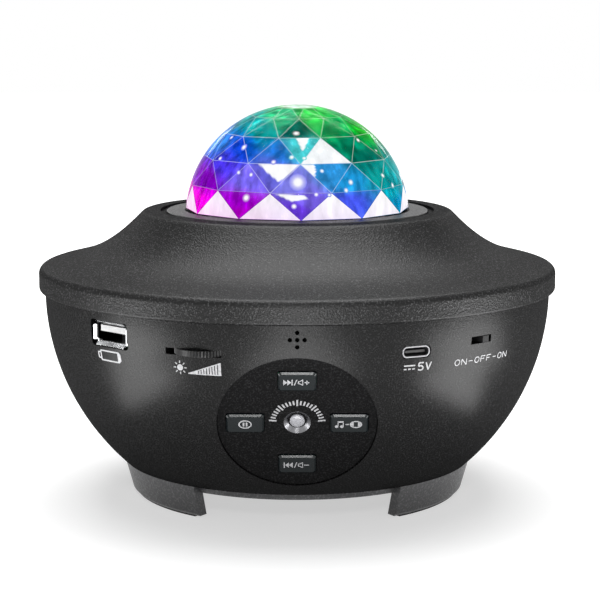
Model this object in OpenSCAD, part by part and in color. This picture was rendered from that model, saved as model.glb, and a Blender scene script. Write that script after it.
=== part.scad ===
// Star and galaxy night light projector with a speaker: a bowl-shaped body under a flared lid, a faceted
// dome in the lid, and a round key panel on the front.
// Millimetres. +Z is up, the origin is on the table under the middle, and the key panel faces -Y.
// Angles called az are measured from the front (-Y) towards +X.

/* [Body] */
// Outer radius of the bowl at the seam
bowl_r = 81.6; // [78:0.2:82.4]
// Outer radius of the bowl at its bottom edge
base_r = 56.8; // [54:0.2:60]
// Height of the bowl's bottom edge over the table
base_z = 10.6; // [9:0.2:14]
// Height of the bowl, from its bottom edge to the seam
bowl_h = 55.9; // [54:0.1:60]
// Wall thickness of the bowl and the lid
wall = 2.4; // [2:0.1:3]
// Width of the bowl's floor, from the foot wall inwards to its bore
floor_w = 6.8; // [6.4:0.1:8.8]

/* [Lid] */
// Outer radius of the lid's rim
rim_r = 83.5; // [83:0.1:90]
// Height of the rim band
rim_h = 6.95; // [6:0.05:9]
// Radius of the rim's rounded lower edge
rim_edge_r = 0.8; // [0.4:0.1:1.5]
// Radius of the rim's rounded upper edge
rim_round = 2.2; // [1.5:0.1:3]
// Outer radius of the collar round the dome
collar_r = 50.4; // [50:0.1:52]
// Radius of the collar's rounded edge
collar_round = 2.5; // [1.5:0.1:2.8]
// Slope of the lid below the collar, in degrees
flare_angle = 46; // [42:1:50]
// Slope of the lid's brim, in degrees
brim_angle = 14; // [10:1:18]
// Height of the collar over the seam
collar_h = 24.7; // [23:0.1:28]
// Thickness of the collar's top
collar_t = 2.2; // [1.8:0.1:3]
// Depth of the skirt that locates the lid in the bowl
skirt_h = 1.5; // [1:0.1:1.6]

/* [Feet] */
// Number of feet
foot_count = 3; // [3:1:3]
// Arc that each foot covers, in degrees
foot_arc = 52; // [40:1:60]
// Thickness of a foot's wall
foot_wall = 4; // [3.6:0.1:5]
// How far the feet lean inwards at the bottom
foot_lean = 2.6; // [1:0.1:3.5]
// Thickness of a rubber pad
pad_t = 1.2; // [1:0.1:2]
// How far a pad stands out of its foot
pad_proud = 0.6; // [0.3:0.1:0.8]

/* [Dome] */
// Radius of the dome at the collar
dome_r = 36.1; // [34:0.1:37]
// Height of the dome over the collar
dome_h = 33.8; // [30:0.1:38]
// Facets in a row on the dome's inside
dome_facets = 11; // [8:1:14]
// Wall of the dome at the corners of its facets
dome_wall = 2; // [1.2:0.1:2.5]
// Width of the flange under the dome
dome_flange = 3.8; // [2.5:0.1:4]
// Radial gap between the dome and its ring
dome_gap = 0.3; // [0.2:0.05:0.6]
// Outer radius of the ring round the dome
dome_ring_r = 42.3; // [42:0.1:42.6]
// Width of the groove round the dome ring
ring_groove = 2; // [1:0.1:2.4]
// Depth of that groove
ring_groove_depth = 0.9; // [0.5:0.1:1.4]

/* [Key panel] */
// Height of the key panel's middle over the bowl's bottom edge, as a share of the bowl's height
panel_level = 0.4215; // [0.412:0.0005:0.436]
// Depth of the panel's flat below the bowl's face at its middle
panel_depth = 3.9; // [3.6:0.1:4.2]
// Radius of the panel, as a share of the bowl's height
panel_share = 0.4168; // [0.406:0.0002:0.4238]
// Thickness of the panel
panel_t = 2; // [1.6:0.1:2.4]
// Distance from the middle of a key to the panel's edge
key_edge = 8.1; // [7.9:0.1:8.9]
// Width of a key
key_w = 11; // [10:0.1:11.4]
// Height of a key
key_h = 6.5; // [5.5:0.1:7]
// How far a key stands out of the panel
key_proud = 0.9; // [0.6:0.1:1.4]
// Travel of a key
key_travel = 0.5; // [0.3:0.05:0.6]
// Gap between a key and its window, on each side
key_gap = 0.2; // [0.1:0.05:0.3]
// Radius of the window of the remote receiver
ir_window_r = 2.15; // [1.8:0.05:2.5]
// Radius of the funnel round that window
ir_funnel_r = 4; // [3.2:0.1:4.4]

/* [Ports] */
// Direction of the USB-A outlet
usb_a_az = -43.5; // [-44.5:0.5:-42]
// Depth of the USB-A outlet's middle below the seam
usb_a_drop = 6.5; // [6.3:0.1:6.8]
// Direction of the brightness dial
dial_az = -21.3; // [-22:0.1:-20.5]
// Radius of the brightness dial
dial_r = 8.6; // [8.4:0.1:9]
// Thickness of the brightness dial
dial_t = 1.7; // [1.4:0.1:1.8]
// How far the dial stands out of the bowl
dial_proud = 2.3; // [1.6:0.1:2.5]
// Ridges round the dial
dial_ridges = 52; // [40:1:60]
// Direction of the USB-C inlet
usb_c_az = 25.2; // [24:0.2:27]
// Direction of the slide switch
switch_az = 42.1; // [41:0.1:43]
// Depth of the slide switch below the seam
switch_drop = 7.7; // [7.3:0.1:8.1]
// Travel of the slide switch, over three positions
switch_travel = 3.2; // [2.4:0.1:4]
// Depth of the microphone holes below the seam
mic_drop = 4.2; // [4.1:0.1:4.5]
// Spacing of the microphone holes
mic_pitch = 2.1; // [1.8:0.05:2.2]

/* [Light engine] */
// Depth of the main board's top face below the seam
board_drop = 10.75; // [10.5:0.05:11]
// Outer radius of the light chamber
chamber_r = 33; // [32:0.1:35]
// Wall of the light chamber
chamber_wall = 2; // [1.5:0.1:2.5]
// Depth of the light chamber's floor below the seam
chamber_drop = 12.5; // [10.5:0.5:14.5]
// Module of the gears
gear_m = 1.2; // [1.1:0.02:1.24]
// Teeth of the ripple wheel
wheel_teeth = 45; // [44:1:46]
// Teeth of the motor's pinion
pinion_teeth = 9; // [9:1:10]
// Height of the ripple wheel's rim over the seam
wheel_rise = 8.9; // [8:0.1:10]
// Thickness of the ripple wheel's rim
wheel_t = 2.6; // [2:0.1:3.2]
// Radius of the motor
motor_r = 7.5; // [6:0.1:8]
// Length of the motor
motor_l = 15.4; // [12:0.1:16]

/* [Speaker] */
// Outer radius of the speaker's frame
speaker_r = 27.5; // [25:0.1:29]
// Height of the speaker, from its flange to the back of its magnet
speaker_h = 25; // [22:0.5:28]
// Radius of the magnet
magnet_r = 16; // [13:0.1:17]
// Radius of a hole in the speaker grille
grille_hole_r = 1.2; // [0.8:0.1:1.4]
// Spacing of the grille holes
grille_pitch = 4.4; // [3.6:0.1:4.6]

/* [Hidden] */
$fn = 96;

black = [0.12, 0.12, 0.13];
charcoal = [0.2, 0.2, 0.21];
grey = [0.45, 0.46, 0.48];
steel = [0.75, 0.76, 0.78];
green_board = [0.05, 0.3, 0.16];
eps = 0.01;        // overlap of pieces that are one solid, and of cuts past a face
fit_gap = 0.1;     // gap round a piece that drops into its seat
run_gap = 0.05;    // radial clearance of a shaft that turns
slide_gap = 0.2;   // gap beside a piece that slides

// The bowl's wall is an arc that stands upright at the seam and passes through the bottom edge
seam_z = base_z + bowl_h;
bowl_arc = ((bowl_r - base_r) ^ 2 + bowl_h ^ 2) / (2 * (bowl_r - base_r));
bowl_cx = bowl_r - bowl_arc;
function bowl_out(z) = bowl_cx + sqrt(bowl_arc ^ 2 - (seam_z - z) ^ 2);
function bowl_in(z) = bowl_cx + sqrt((bowl_arc - wall) ^ 2 - (seam_z - z) ^ 2);

// Levels measured from the seam
usb_a_z = seam_z - usb_a_drop;
dial_z = seam_z - 9;
switch_z = seam_z - switch_drop;
mic_z = seam_z - mic_drop;
board_z = seam_z - board_drop;
chamber_z = seam_z - chamber_drop;
wheel_z = seam_z + wheel_rise;

// Levels of the lid
collar_z = seam_z + collar_h;
rim_z = seam_z + rim_h;
ledge_z = collar_z - collar_t;
ledge_t = 1.8;
ledge_bore_r = dome_r + dome_flange + 0.4;
housing_z = ledge_z - ledge_t;
// Depth of the housing screws' holes, which end under the groove in the collar
housing_pilot_deep = collar_t + ledge_t - ring_groove_depth - 0.4;
flare_points = 16;

// Screws: [head radius, head height, shank radius]
screw_s = [2, 1.3, 1];
screw_m = [2.3, 1.6, 1.25];
screw_l = [2.9, 2, 1.5];
pilot_gap = 0.05;   // the shank's play in the hole that it cuts its thread in

// Feet and base cover
foot_z = pad_proud;
foot_in_r = base_r - foot_wall;
plate_r = foot_in_r + 0.8;
plate_t = 2.4;
plate_z = base_z - plate_t;
foot_first_az = 180 / foot_count;
floor_bore_r = foot_in_r - floor_w;
base_screw_r = foot_in_r - 3.3;
base_boss_h = 7;

// Posts that join the lid to the bowl, over the feet
post_at_r = foot_in_r - 0.5;
post_r = 4.2;
post_top = seam_z - 6.5;
post_screw_l = 16;
post_seat = post_top - 8;

// Key panel, in its own frame: the flat is at 0 and outwards is +z
panel_tilt = asin(bowl_h * (1 - panel_level) / bowl_arc);
panel_out = bowl_cx + (bowl_arc - panel_depth) * cos(panel_tilt);
panel_z = seam_z - (bowl_arc - panel_depth) * sin(panel_tilt);
panel_r = panel_share * bowl_h;
panel_face = -0.3;
panel_back = panel_face - panel_t;
pocket_wall = 2.1;
ledge_w = 2;
pocket_floor = 1.5;
key_pitch = panel_r - key_edge;
key_round = 0.8;
key_bevel = 0.5;
key_flange = 0.8;
key_flange_w = 1.1;
stem_r = 1.6;
stem_l = 0.8;
stem_end = panel_back - 0.05 - key_flange - stem_l;
tact_w = 6;
tact_h = 3.1;
tact_button_h = 0.6;
key_board_z = stem_end - key_travel - 0.15 - tact_button_h - tact_h;
key_board_t = 1.6;
key_board_r = panel_r - 3.8;
key_post_at = key_pitch - 2;
key_post_r = 2;
ir_z = key_board_z;

// Ports
board_t = 1.6;
board_in_r = chamber_r + 9;
board_out_r = bowl_in(board_z - board_t) - 0.75;
board_arc = 53;
standoff_az = [-46, -27, 31, 49];
standoff_at = [for (d = [17.4, 25.4, 25.4, 17.4]) board_out_r - d];
standoff_r = 2.8;
usb_a_w = 13.2;
usb_a_h = 5.9;
usb_a_l = 14;
usb_a_lip = 0.9;
usb_a_lip_deep = 1;
usb_a_side_lip_w = 4.4;
usb_a_side_gap = 1.5;
usb_c_w = 8.94;
usb_c_h = 3.26;
usb_c_l = 7.3;
usb_c_z = board_z + usb_c_h / 2;
sheet_t = 0.35;
dial_slot_w = 17.6;
dial_slot_h = dial_t + 0.3;
dial_at_r = bowl_out(dial_z) + dial_proud - dial_r;
dial_hub_r = 2;
pot_r = 3.1;
dial_slot_shift = 0.7;
pot_deep = 3;
switch_slot_w = 8.6;
switch_slot_h = 2.3;
switch_knob_w = 2.5;
switch_knob_h = 1.9;
switch_can_w = 9.4;
switch_can_h = 4.6;
switch_can_l = 3.6;
switch_rest = switch_travel / 2;
mic_hole_r = 0.65;
mic_r = 2.5;

// Light engine
gear_c = gear_m * (wheel_teeth + pinion_teeth) / 2;
tooth_add = 1;
tooth_ded = 1.3;
tooth_slack = 0.14;
chamber_floor_t = 2;
chamber_bore = chamber_r - chamber_wall;
chamber_hole_r = 20.6;
lobe_wall = 1.6;
sink_r = 24;
sink_base = 3;
sink_fin = 6;
led_board_r = 20;
led_board_t = 1.6;
laser_y = -13.8;
laser_r = 5;
laser_l = 16;
bridge_w = 5;
bridge_t = 2;
bridge_z = wheel_z - 4.9;
bridge_shoulder = 0.8;
axle_r = 1.5;
hub_r = 4.5;
hub_z = bridge_z + bridge_t + bridge_shoulder + 0.1;
hub_top = wheel_z + wheel_t + 0.2;
motor_z = wheel_z - 2 - motor_l;
motor_shaft_r = 1;

// Speaker
speaker_z = base_z + 2;
speaker_flange_t = 1;
speaker_flange_w = 2.7;
speaker_screw_at = speaker_r + 2.9;

/* ---------- helpers ---------- */

// A ring between two radii and two heights
module ring(out_r, in_r, z0, z1) {
    rotate_extrude() translate([in_r, z0]) square([out_r - in_r, z1 - z0]);
}

// Places its children on a wall: local +z points outwards and +y up
module at_wall(az, z, r) {
    rotate([0, 0, az]) translate([0, -r, z]) rotate([90, 0, 0]) children();
}

// Places its children in the key panel's frame
module on_panel() {
    translate([0, -panel_out, panel_z]) rotate([90 + panel_tilt, 0, 0]) children();
}

// Copies its children to several azimuths at one radius
module around(azs, r) {
    for (az = azs) rotate([0, 0, az]) translate([0, -r, 0]) children();
}

// A block centred in x and y that stands on z = 0
module block(w, d, h) {
    translate([-w / 2, -d / 2, 0]) cube([w, d, h]);
}

// A rectangle with round corners, centred
module round_rect(w, h, r) {
    square([w, h - 2 * r], center = true);
    square([w - 2 * r, h], center = true);
    for (x = [-1, 1], y = [-1, 1]) translate([x * (w / 2 - r), y * (h / 2 - r)]) circle(r = r, $fn = 32);
}

// A cross-head screw whose head sits on z = 0 and whose shank points down
module screw(size, length) {
    difference() {
        cylinder(r = size[0], h = size[1], $fn = 32);
        for (a = [0, 90]) rotate([0, 0, a]) translate([0, 0, size[1] * 0.5])
            block(size[0] * 1.1, size[0] * 0.28, size[1]);
    }
    translate([0, 0, -length]) cylinder(r = size[2], h = length + eps, $fn = 32);
}

/* ---------- casing ---------- */

// Cross-section inside the bowl's outer face, moved inwards by inset, between two heights
module bowl_section(inset, z0, z1) {
    intersection() {
        translate([bowl_cx, seam_z]) circle(r = bowl_arc - inset, $fn = 192);
        translate([0, z0]) square([2 * bowl_r, z1 - z0]);
    }
}

// What stands inside the bowl ends in the middle of its wall
module inside_bowl() {
    intersection() {
        union() children();
        rotate_extrude() bowl_section(wall / 2, base_z, seam_z);
    }
}

foot_azs = [for (i = [0:foot_count - 1]) foot_first_az + i * 360 / foot_count];
gap_azs = [for (i = [0:foot_count - 1]) i * 360 / foot_count];

module bowl_body() {
    color(charcoal) difference() {
        union() {
            rotate_extrude() difference() {
                bowl_section(0, base_z, seam_z);
                bowl_section(wall, base_z + wall, seam_z + wall);
                translate([0, base_z - wall]) square([floor_bore_r, 3 * wall]);
            }
            inside_bowl() {
                // Posts for the lid's screws
                around(foot_azs, post_at_r)
                    translate([0, 0, base_z]) cylinder(r = post_r, h = post_top - base_z);
                // Bosses for the base cover's screws
                around(gap_azs, base_screw_r)
                    translate([0, 0, base_z]) cylinder(r = 3.2, h = base_boss_h);
                // Standoffs of the main board, each on a rib from the wall
                for (i = [0:len(standoff_az) - 1]) board_standoff(standoff_az[i], standoff_at[i]);
                // Pocket of the key panel
                on_panel() translate([0, 0, panel_back - pocket_floor])
                    cylinder(r = panel_r + key_gap + pocket_wall, h = 3 * panel_depth);
                // Cup of the microphone
                at_wall(0, mic_z, bowl_in(mic_z)) translate([0, 0, -2.6]) cylinder(r = mic_r + 1.1, h = 4);
            }
        }
        // Lid screws go up through the posts, base screws into the bosses
        around(foot_azs, post_at_r) {
            translate([0, 0, base_z - eps]) cylinder(r = screw_l[0] + 0.3, h = post_seat - base_z + eps);
            translate([0, 0, base_z]) cylinder(r = screw_l[2] + 0.2, h = post_top);
        }
        around(gap_azs, base_screw_r) translate([0, 0, base_z - eps])
            cylinder(r = screw_m[2] + pilot_gap, h = base_boss_h - 1);
        for (i = [0:len(standoff_az) - 1]) around([standoff_az[i]], standoff_at[i])
            translate([0, 0, board_z - board_t - 6]) cylinder(r = screw_m[2] + pilot_gap, h = 7);
        // Seat and opening of the key panel
        on_panel() {
            translate([0, 0, panel_back]) cylinder(r = panel_r + key_gap, h = 3 * panel_depth);
            translate([0, 0, panel_back - 20]) cylinder(r = panel_r + key_gap - ledge_w, h = 30);
        }
        // Ports, dial slot, switch slot and microphone holes
        at_wall(usb_a_az, usb_a_z, bowl_in(usb_a_z) - 4) linear_extrude(12)
            round_rect(usb_a_w + 2 * usb_a_side_gap, usb_a_h + 2 * usb_a_lip + 0.4, 1.2);
        at_wall(usb_c_az, usb_c_z, bowl_in(usb_c_z) - 4) linear_extrude(12)
            round_rect(usb_c_w + 0.5, usb_c_h + 0.5, usb_c_h / 2 - 0.1);
        at_wall(dial_az, dial_z, bowl_in(dial_z) - 3) translate([-dial_slot_shift, 0, 0])
            linear_extrude(9) square([dial_slot_w, dial_slot_h], center = true);
        at_wall(switch_az, switch_z, bowl_in(switch_z) - 1) linear_extrude(6)
            square([switch_slot_w, switch_slot_h], center = true);
        for (p = [[0, 0], [1, 0], [-1, 0], [0, 1], [0, -1]])
            at_wall(0, mic_z + p[1] * mic_pitch, bowl_in(mic_z) - 1) translate([p[0] * mic_pitch, 0, 0])
                cylinder(r = mic_hole_r, h = 8, $fn = 24);
        at_wall(0, mic_z, bowl_in(mic_z)) translate([0, 0, -3]) cylinder(r = mic_r + fit_gap, h = 2.8);
    }
}

// One standoff under the main board with the rib that carries it
module board_standoff(az, at) {
    rotate([0, 0, az]) {
        translate([0, -at, board_z - board_t - 14]) cylinder(r = standoff_r, h = 14);
        translate([-1, -bowl_r, board_z - board_t - 14]) cube([2, bowl_r - at, 12.5]);
    }
}

// The lid's outer curve from the collar down to the rim: a cubic that keeps both slopes at its ends
rim_round_z = rim_z - rim_round * tan(45 - brim_angle / 2);
flare_top = [collar_r, collar_z - collar_round * (1 - cos(flare_angle))];
flare_end = [rim_r - rim_round * (1 - sin(brim_angle)), rim_round_z + rim_round * cos(brim_angle)];
flare = [flare_top, flare_top + 0.55 * (flare_end[0] - flare_top[0]) * [cos(flare_angle), -sin(flare_angle)],
    flare_end - 0.4 * (flare_end[0] - flare_top[0]) * [cos(brim_angle), -sin(brim_angle)], flare_end];
function curve(p, t) = p[0] * (1 - t) ^ 3 + 3 * p[1] * t * (1 - t) ^ 2 + 3 * p[2] * t ^ 2 * (1 - t)
    + p[3] * t ^ 3;
function slope(p, t) = 3 * (p[1] - p[0]) * (1 - t) ^ 2 + 6 * (p[2] - p[1]) * t * (1 - t)
    + 3 * (p[3] - p[2]) * t ^ 2;
function inward(d) = [d[1], -d[0]] / norm(d);
function arc(cx, cz, r, a0, a1, n) = [for (i = [0:n]) let (a = a0 + (a1 - a0) * i / n)
    [cx + r * cos(a), cz + r * sin(a)]];
lid_outside = concat(
    arc(collar_r - collar_round * sin(flare_angle), collar_z - collar_round, collar_round,
        90, 90 - flare_angle, 4),
    [for (i = [1:flare_points - 1]) curve(flare, i / flare_points)],
    arc(rim_r - rim_round, rim_round_z, rim_round, 90 - brim_angle, 0, 8),
    arc(rim_r - rim_edge_r, seam_z + rim_edge_r, rim_edge_r, 0, -90, 4));
lid_inside = [for (i = [flare_points - 1:-1:2])
    let (t = i / flare_points) curve(flare, t) + wall * inward(slope(flare, t))];
skirt_r = bowl_r - wall - fit_gap - 0.1;

module lid_section() {
    polygon(concat(
        [[dome_ring_r + ring_groove, collar_z - ring_groove_depth], [dome_ring_r + ring_groove, collar_z]],
        lid_outside,
        [[skirt_r, seam_z], [skirt_r, seam_z - skirt_h], [skirt_r - 2.2, seam_z - skirt_h],
         [skirt_r - 2.2, seam_z + wall], [rim_r - wall, seam_z + wall], [rim_r - wall, rim_z - wall]],
        lid_inside,
        [[collar_r - 0.6, housing_z], [ledge_bore_r, housing_z], [ledge_bore_r, ledge_z],
         [dome_ring_r + fit_gap, ledge_z], [dome_ring_r + fit_gap, collar_z - ring_groove_depth]]));
}

// The same outline filled to the axis, which trims what hangs from the lid
module lid_filled_section() {
    polygon(concat([[0, collar_z - wall / 2]], [for (p = lid_outside) p - [wall, wall] / 3],
        [[rim_r / 2, 0], [0, 0]]));
}

module top_cover() {
    color(charcoal) difference() {
        union() {
            rotate_extrude() lid_section();
            // Bosses that meet the bowl's posts
            intersection() {
                around(foot_azs, post_at_r)
                    translate([0, 0, post_top]) cylinder(r = post_r - 0.4, h = collar_z);
                rotate_extrude() lid_filled_section();
            }
        }
        around(foot_azs, post_at_r) translate([0, 0, post_top])
            cylinder(r = screw_l[2] + pilot_gap, h = post_screw_l - 4);
        around(housing_screw_azs, housing_screw_at) translate([0, 0, housing_z - eps])
            cylinder(r = screw_m[2] + pilot_gap, h = housing_pilot_deep + eps);
        // Room for the microphone behind its upper hole
        translate([0, -bowl_r, seam_z - skirt_h - eps]) block(10, 12, skirt_h);
    }
}

module dome_ring() {
    color(charcoal) rotate_extrude() polygon(concat(
        [[dome_r + dome_gap, ledge_z], [dome_ring_r, ledge_z]],
        arc(dome_ring_r - 0.5, collar_z - 0.5, 0.5, 0, 90, 3),
        [[dome_r + dome_gap, collar_z]]));
}

// The dome is a clear ball outside. Inside, its rows of corners lie on a smaller ball, from the
// collar up, at these fractions of the way to the top
dome_ball_r = (dome_r ^ 2 + dome_h ^ 2) / (2 * dome_h);
dome_mid = dome_h - dome_ball_r;
dome_row_steps = [0, 0.16, 0.345, 0.54, 0.725, 0.885];
dome_rows = len(dome_row_steps);
dome_phase = 2;
facet_ball_r = dome_ball_r - dome_wall;
first_row_angle = asin(-dome_mid / facet_ball_r);
function row_angle(i) = first_row_angle + (90 - first_row_angle) * dome_row_steps[i];
function row_r(i) = facet_ball_r * cos(row_angle(i));
function row_h(i) = dome_mid + facet_ball_r * sin(row_angle(i));
dome_neck_r = row_r(0) * cos(180 / dome_facets) - 0.4;

// Each band between two rows is a zigzag of triangles, and every other row is turned by half a facet
module facet_cavity() {
    n = dome_facets;
    polyhedron(
        points = [for (i = [0:dome_rows - 1]) for (k = [0:n - 1])
            let (a = dome_phase - 90 + (k + (i % 2) / 2) * 360 / n)
            [row_r(i) * cos(a), row_r(i) * sin(a), row_h(i)]],
        faces = concat(
            [[for (k = [0:n - 1]) k]],
            [for (i = [0:dome_rows - 2]) for (k = [0:n - 1]) for (up = [0, 1])
                let (a = i * n, b = (i + 1) * n, j = (k + 1) % n, odd = i % 2)
                up == 0 ? [a + k, (odd == 0 ? b + k : b + j), a + j]
                        : [b + k, b + j, (odd == 0 ? a + j : a + k)]],
            [[for (k = [n - 1:-1:0]) (dome_rows - 1) * n + k]]));
}

module crystal_dome() {
    color([0.35, 0.45, 0.95]) translate([0, 0, collar_z]) {
        difference() {
            rotate_extrude() intersection() {
                translate([0, dome_mid]) circle(r = dome_ball_r);
                square([2 * dome_r, dome_h]);
            }
            translate([0, 0, -eps]) facet_cavity();
        }
        ring(dome_r, dome_neck_r, ledge_z - collar_z - eps, eps);
        ring(dome_r + dome_flange, dome_neck_r, housing_z - collar_z, ledge_z - collar_z);
    }
}

/* ---------- feet and base ---------- */

// A stretch of a revolved outline that covers arc degrees, centred on az
module sector(az, arc) {
    rotate([0, 0, az - arc / 2 - 90]) rotate_extrude(angle = arc) children();
}

module base_cover() {
    color(black) difference() {
        union() {
            ring(plate_r, 0, plate_z, base_z);
            ring(floor_bore_r - fit_gap, floor_bore_r - 1.8, base_z - eps, base_z + wall);
            // Feet: leaning walls that run on under the bowl's edge
            for (az = foot_azs) sector(az, foot_arc) polygon([
                [base_r, base_z], [base_r - foot_lean, foot_z + 0.8], [base_r - foot_lean - 0.8, foot_z],
                [foot_in_r - foot_lean, foot_z], [foot_in_r, base_z]]);
            // Seat of the speaker and bosses for its screws
            ring(speaker_r, speaker_r - speaker_flange_w, base_z - eps, speaker_z);
            around(gap_azs, speaker_screw_at) translate([0, 0, base_z - eps])
                cylinder(r = 1.8, h = speaker_z + speaker_flange_t - base_z + eps);
        }
        grille_holes();
        around(gap_azs, base_screw_r) {
            translate([0, 0, plate_z - eps]) cylinder(r = screw_m[0] + 0.2, h = 1.2 + eps);
            translate([0, 0, plate_z]) cylinder(r = screw_m[2] + 0.15, h = 2 * plate_t);
        }
        around(gap_azs, speaker_screw_at) translate([0, 0, base_z - 1])
            cylinder(r = screw_s[2] + pilot_gap, h = 10);
        // Recesses of the rubber pads
        for (az = foot_azs) sector(az, foot_arc - 5) pad_section(fit_gap);
    }
}

// Hexagonal field of grille holes inside the speaker's seat
grille_rings = floor((speaker_r - speaker_flange_w - grille_hole_r - 1) / grille_pitch);
module grille_holes() {
    for (i = [-grille_rings:grille_rings]) for (j = [-grille_rings:grille_rings])
        if (abs(i + j) <= grille_rings)
            translate([grille_pitch * (i + j / 2), grille_pitch * j * sin(60), plate_z - 1])
                cylinder(r = grille_hole_r, h = plate_t + 2, $fn = 24);
}

module pad_section(grow) {
    pad_in = foot_in_r - foot_lean + 0.9;
    pad_out = base_r - foot_lean - 1.3;
    translate([pad_in - grow, foot_z - pad_proud]) square([pad_out - pad_in + 2 * grow, pad_t]);
}

module foot_pads() {
    color([0.08, 0.08, 0.08]) for (az = foot_azs) sector(az, foot_arc - 5.4) pad_section(0);
}

/* ---------- speaker ---------- */

basket_z = speaker_z + speaker_flange_t;
magnet_z = speaker_z + speaker_h - 10;
cone_r = speaker_r - speaker_flange_w - fit_gap;

module speaker_frame() {
    color(steel) difference() {
        rotate_extrude() polygon([
            [speaker_r, speaker_z], [speaker_r, basket_z], [speaker_r - 1.4, basket_z],
            [magnet_r + 0.4, magnet_z], [7, magnet_z], [7, magnet_z - 1], [magnet_r - 0.6, magnet_z - 1],
            [speaker_r - speaker_flange_w, basket_z], [speaker_r - speaker_flange_w, speaker_z]]);
        for (a = [45:90:315]) rotate([0, 0, a]) translate([magnet_r + 4.4, 0, basket_z + 1.6])
            block(9, 13, magnet_z - basket_z - 5);
    }
}

module speaker_cone() {
    color(black) rotate_extrude() polygon(concat(
        [[cone_r, speaker_z + 0.3], [cone_r, speaker_z + 0.9], [cone_r - 0.6, speaker_z + 0.9]],
        arc(cone_r - 2.2, speaker_z + 0.9, 1.6, 0, 180, 6),
        [[6.4, magnet_z - 4.6], [6.4, magnet_z + 1], [5.9, magnet_z + 1], [5.9, magnet_z - 5],
         [0, magnet_z - 6.4], [0, magnet_z - 6.9], [6.4, magnet_z - 5.3],
         [cone_r - 4.4, speaker_z + 0.4], [cone_r - 3.2, speaker_z + 0.4]],
        arc(cone_r - 2.2, speaker_z + 0.9, 1.1, 180, 0, 6),
        [[cone_r - 0.6, speaker_z + 0.3]]));
}

module speaker_magnet() {
    color(grey) {
        ring(magnet_r, 7, magnet_z, magnet_z + 8);
        ring(magnet_r + 0.5, 0, magnet_z + 8 - eps, speaker_z + speaker_h);
        translate([0, 0, magnet_z + 0.5]) cylinder(r = 5.4, h = 8);
    }
}

/* ---------- light engine ---------- */

housing_screw_azs = [30, 150, 270];
housing_screw_at = 44.6;
housing_flange_t = 1.8;
housing_flange_r = ledge_bore_r + 6.6;

module optics_housing() {
    color(black) difference() {
        union() {
            ring(chamber_r, chamber_hole_r, chamber_z, chamber_z + chamber_floor_t);
            ring(chamber_r, chamber_bore, chamber_z, housing_z);
            ring(housing_flange_r, chamber_bore, housing_z - housing_flange_t, housing_z);
            // Lobe for the motor, with a floor to stand on
            translate([0, gear_c, chamber_z])
                cylinder(r = motor_r + fit_gap + lobe_wall, h = housing_z - chamber_z - eps);
            // Lugs that carry the bridge
            for (s = [-1, 1]) translate([s * (chamber_bore - 1), 0, bridge_z - 3]) block(5, 8, 3);
        }
        // Inside of the chamber over its floor, and the motor's bore
        difference() {
            translate([0, 0, chamber_z + chamber_floor_t])
                cylinder(r = chamber_bore, h = housing_z - chamber_z);
            for (s = [-1, 1]) translate([s * (chamber_bore - 1), 0, bridge_z - 3]) block(5, 8, 3);
        }
        translate([0, gear_c, motor_z]) cylinder(r = motor_r + fit_gap, h = housing_z);
        translate([0, 0, chamber_z - eps]) cylinder(r = chamber_hole_r, h = chamber_floor_t + 2 * eps);
        around(housing_screw_azs, housing_screw_at) translate([0, 0, chamber_z])
            cylinder(r = screw_m[2] + 0.15, h = collar_z);
        for (s = [-1, 1]) translate([s * (chamber_bore - 2), 0, bridge_z - 4])
            cylinder(r = 0.8 + pilot_gap, h = 5, $fn = 32);
    }
}

module heat_sink() {
    color(steel) {
        translate([0, 0, chamber_z - sink_base]) cylinder(r = sink_r, h = sink_base);
        intersection() {
            for (x = [-20:5:20]) translate([x, 0, chamber_z - sink_base - sink_fin])
                block(1.6, 2 * sink_r, sink_fin + eps);
            translate([0, 0, chamber_z - 20]) cylinder(r = sink_r - 0.5, h = 20);
        }
    }
}

module led_board() {
    color([0.9, 0.9, 0.88]) difference() {
        translate([0, 0, chamber_z]) cylinder(r = led_board_r, h = led_board_t);
        translate([0, laser_y, chamber_z - 1]) cylinder(r = laser_r + 0.3, h = 4);
    }
}

led_spots = [[-3, 0], [3, 0], [0, 3], [0, -3]];
led_w = 2.6;
module leds() {
    for (i = [0:3]) color([[0.9, 0.2, 0.2], [0.2, 0.3, 0.95], [0.2, 0.85, 0.3], [0.95, 0.95, 0.9]][i])
        translate([led_spots[i][0], led_spots[i][1], chamber_z + led_board_t]) rotate([0, 0, 45]) {
            block(led_w, led_w, 0.8);
            cylinder(r = 1, h = 1.1, $fn = 32);
        }
}

module led_lens() {
    lens_z = chamber_z + led_board_t;
    color([0.85, 0.9, 0.95]) difference() {
        union() {
            translate([0, 0, lens_z]) cylinder(r = 8, h = 3);
            intersection() {
                translate([0, 0, lens_z]) cylinder(r = 7.4, h = 9);
                translate([0, 0, lens_z + 1]) sphere(r = 7.6);
            }
        }
        translate([0, 0, lens_z - 1]) cylinder(r = 6, h = 3.4);
    }
}

module laser_module() {
    color([0.75, 0.6, 0.3]) translate([0, laser_y, chamber_z]) {
        cylinder(r = laser_r, h = laser_l - 3);
        cylinder(r = laser_r - 1, h = laser_l);
    }
}

module laser_grating() {
    color([0.8, 0.9, 0.85]) translate([0, laser_y, chamber_z + laser_l]) cylinder(r = laser_r - 0.8, h = 0.8);
}

module lens_bridge() {
    color(grey) difference() {
        union() {
            translate([0, 0, bridge_z]) block(2 * (chamber_bore - 0.3), bridge_w, bridge_t);
            translate([0, 0, bridge_z]) cylinder(r = 3, h = bridge_t + bridge_shoulder);
            translate([0, 0, bridge_z]) cylinder(r = axle_r, h = hub_top + 1.4 - bridge_z);
        }
        for (s = [-1, 1]) translate([s * (chamber_bore - 2), 0, bridge_z - 1])
            cylinder(r = 0.95, h = 4, $fn = 32);
    }
}

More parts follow.
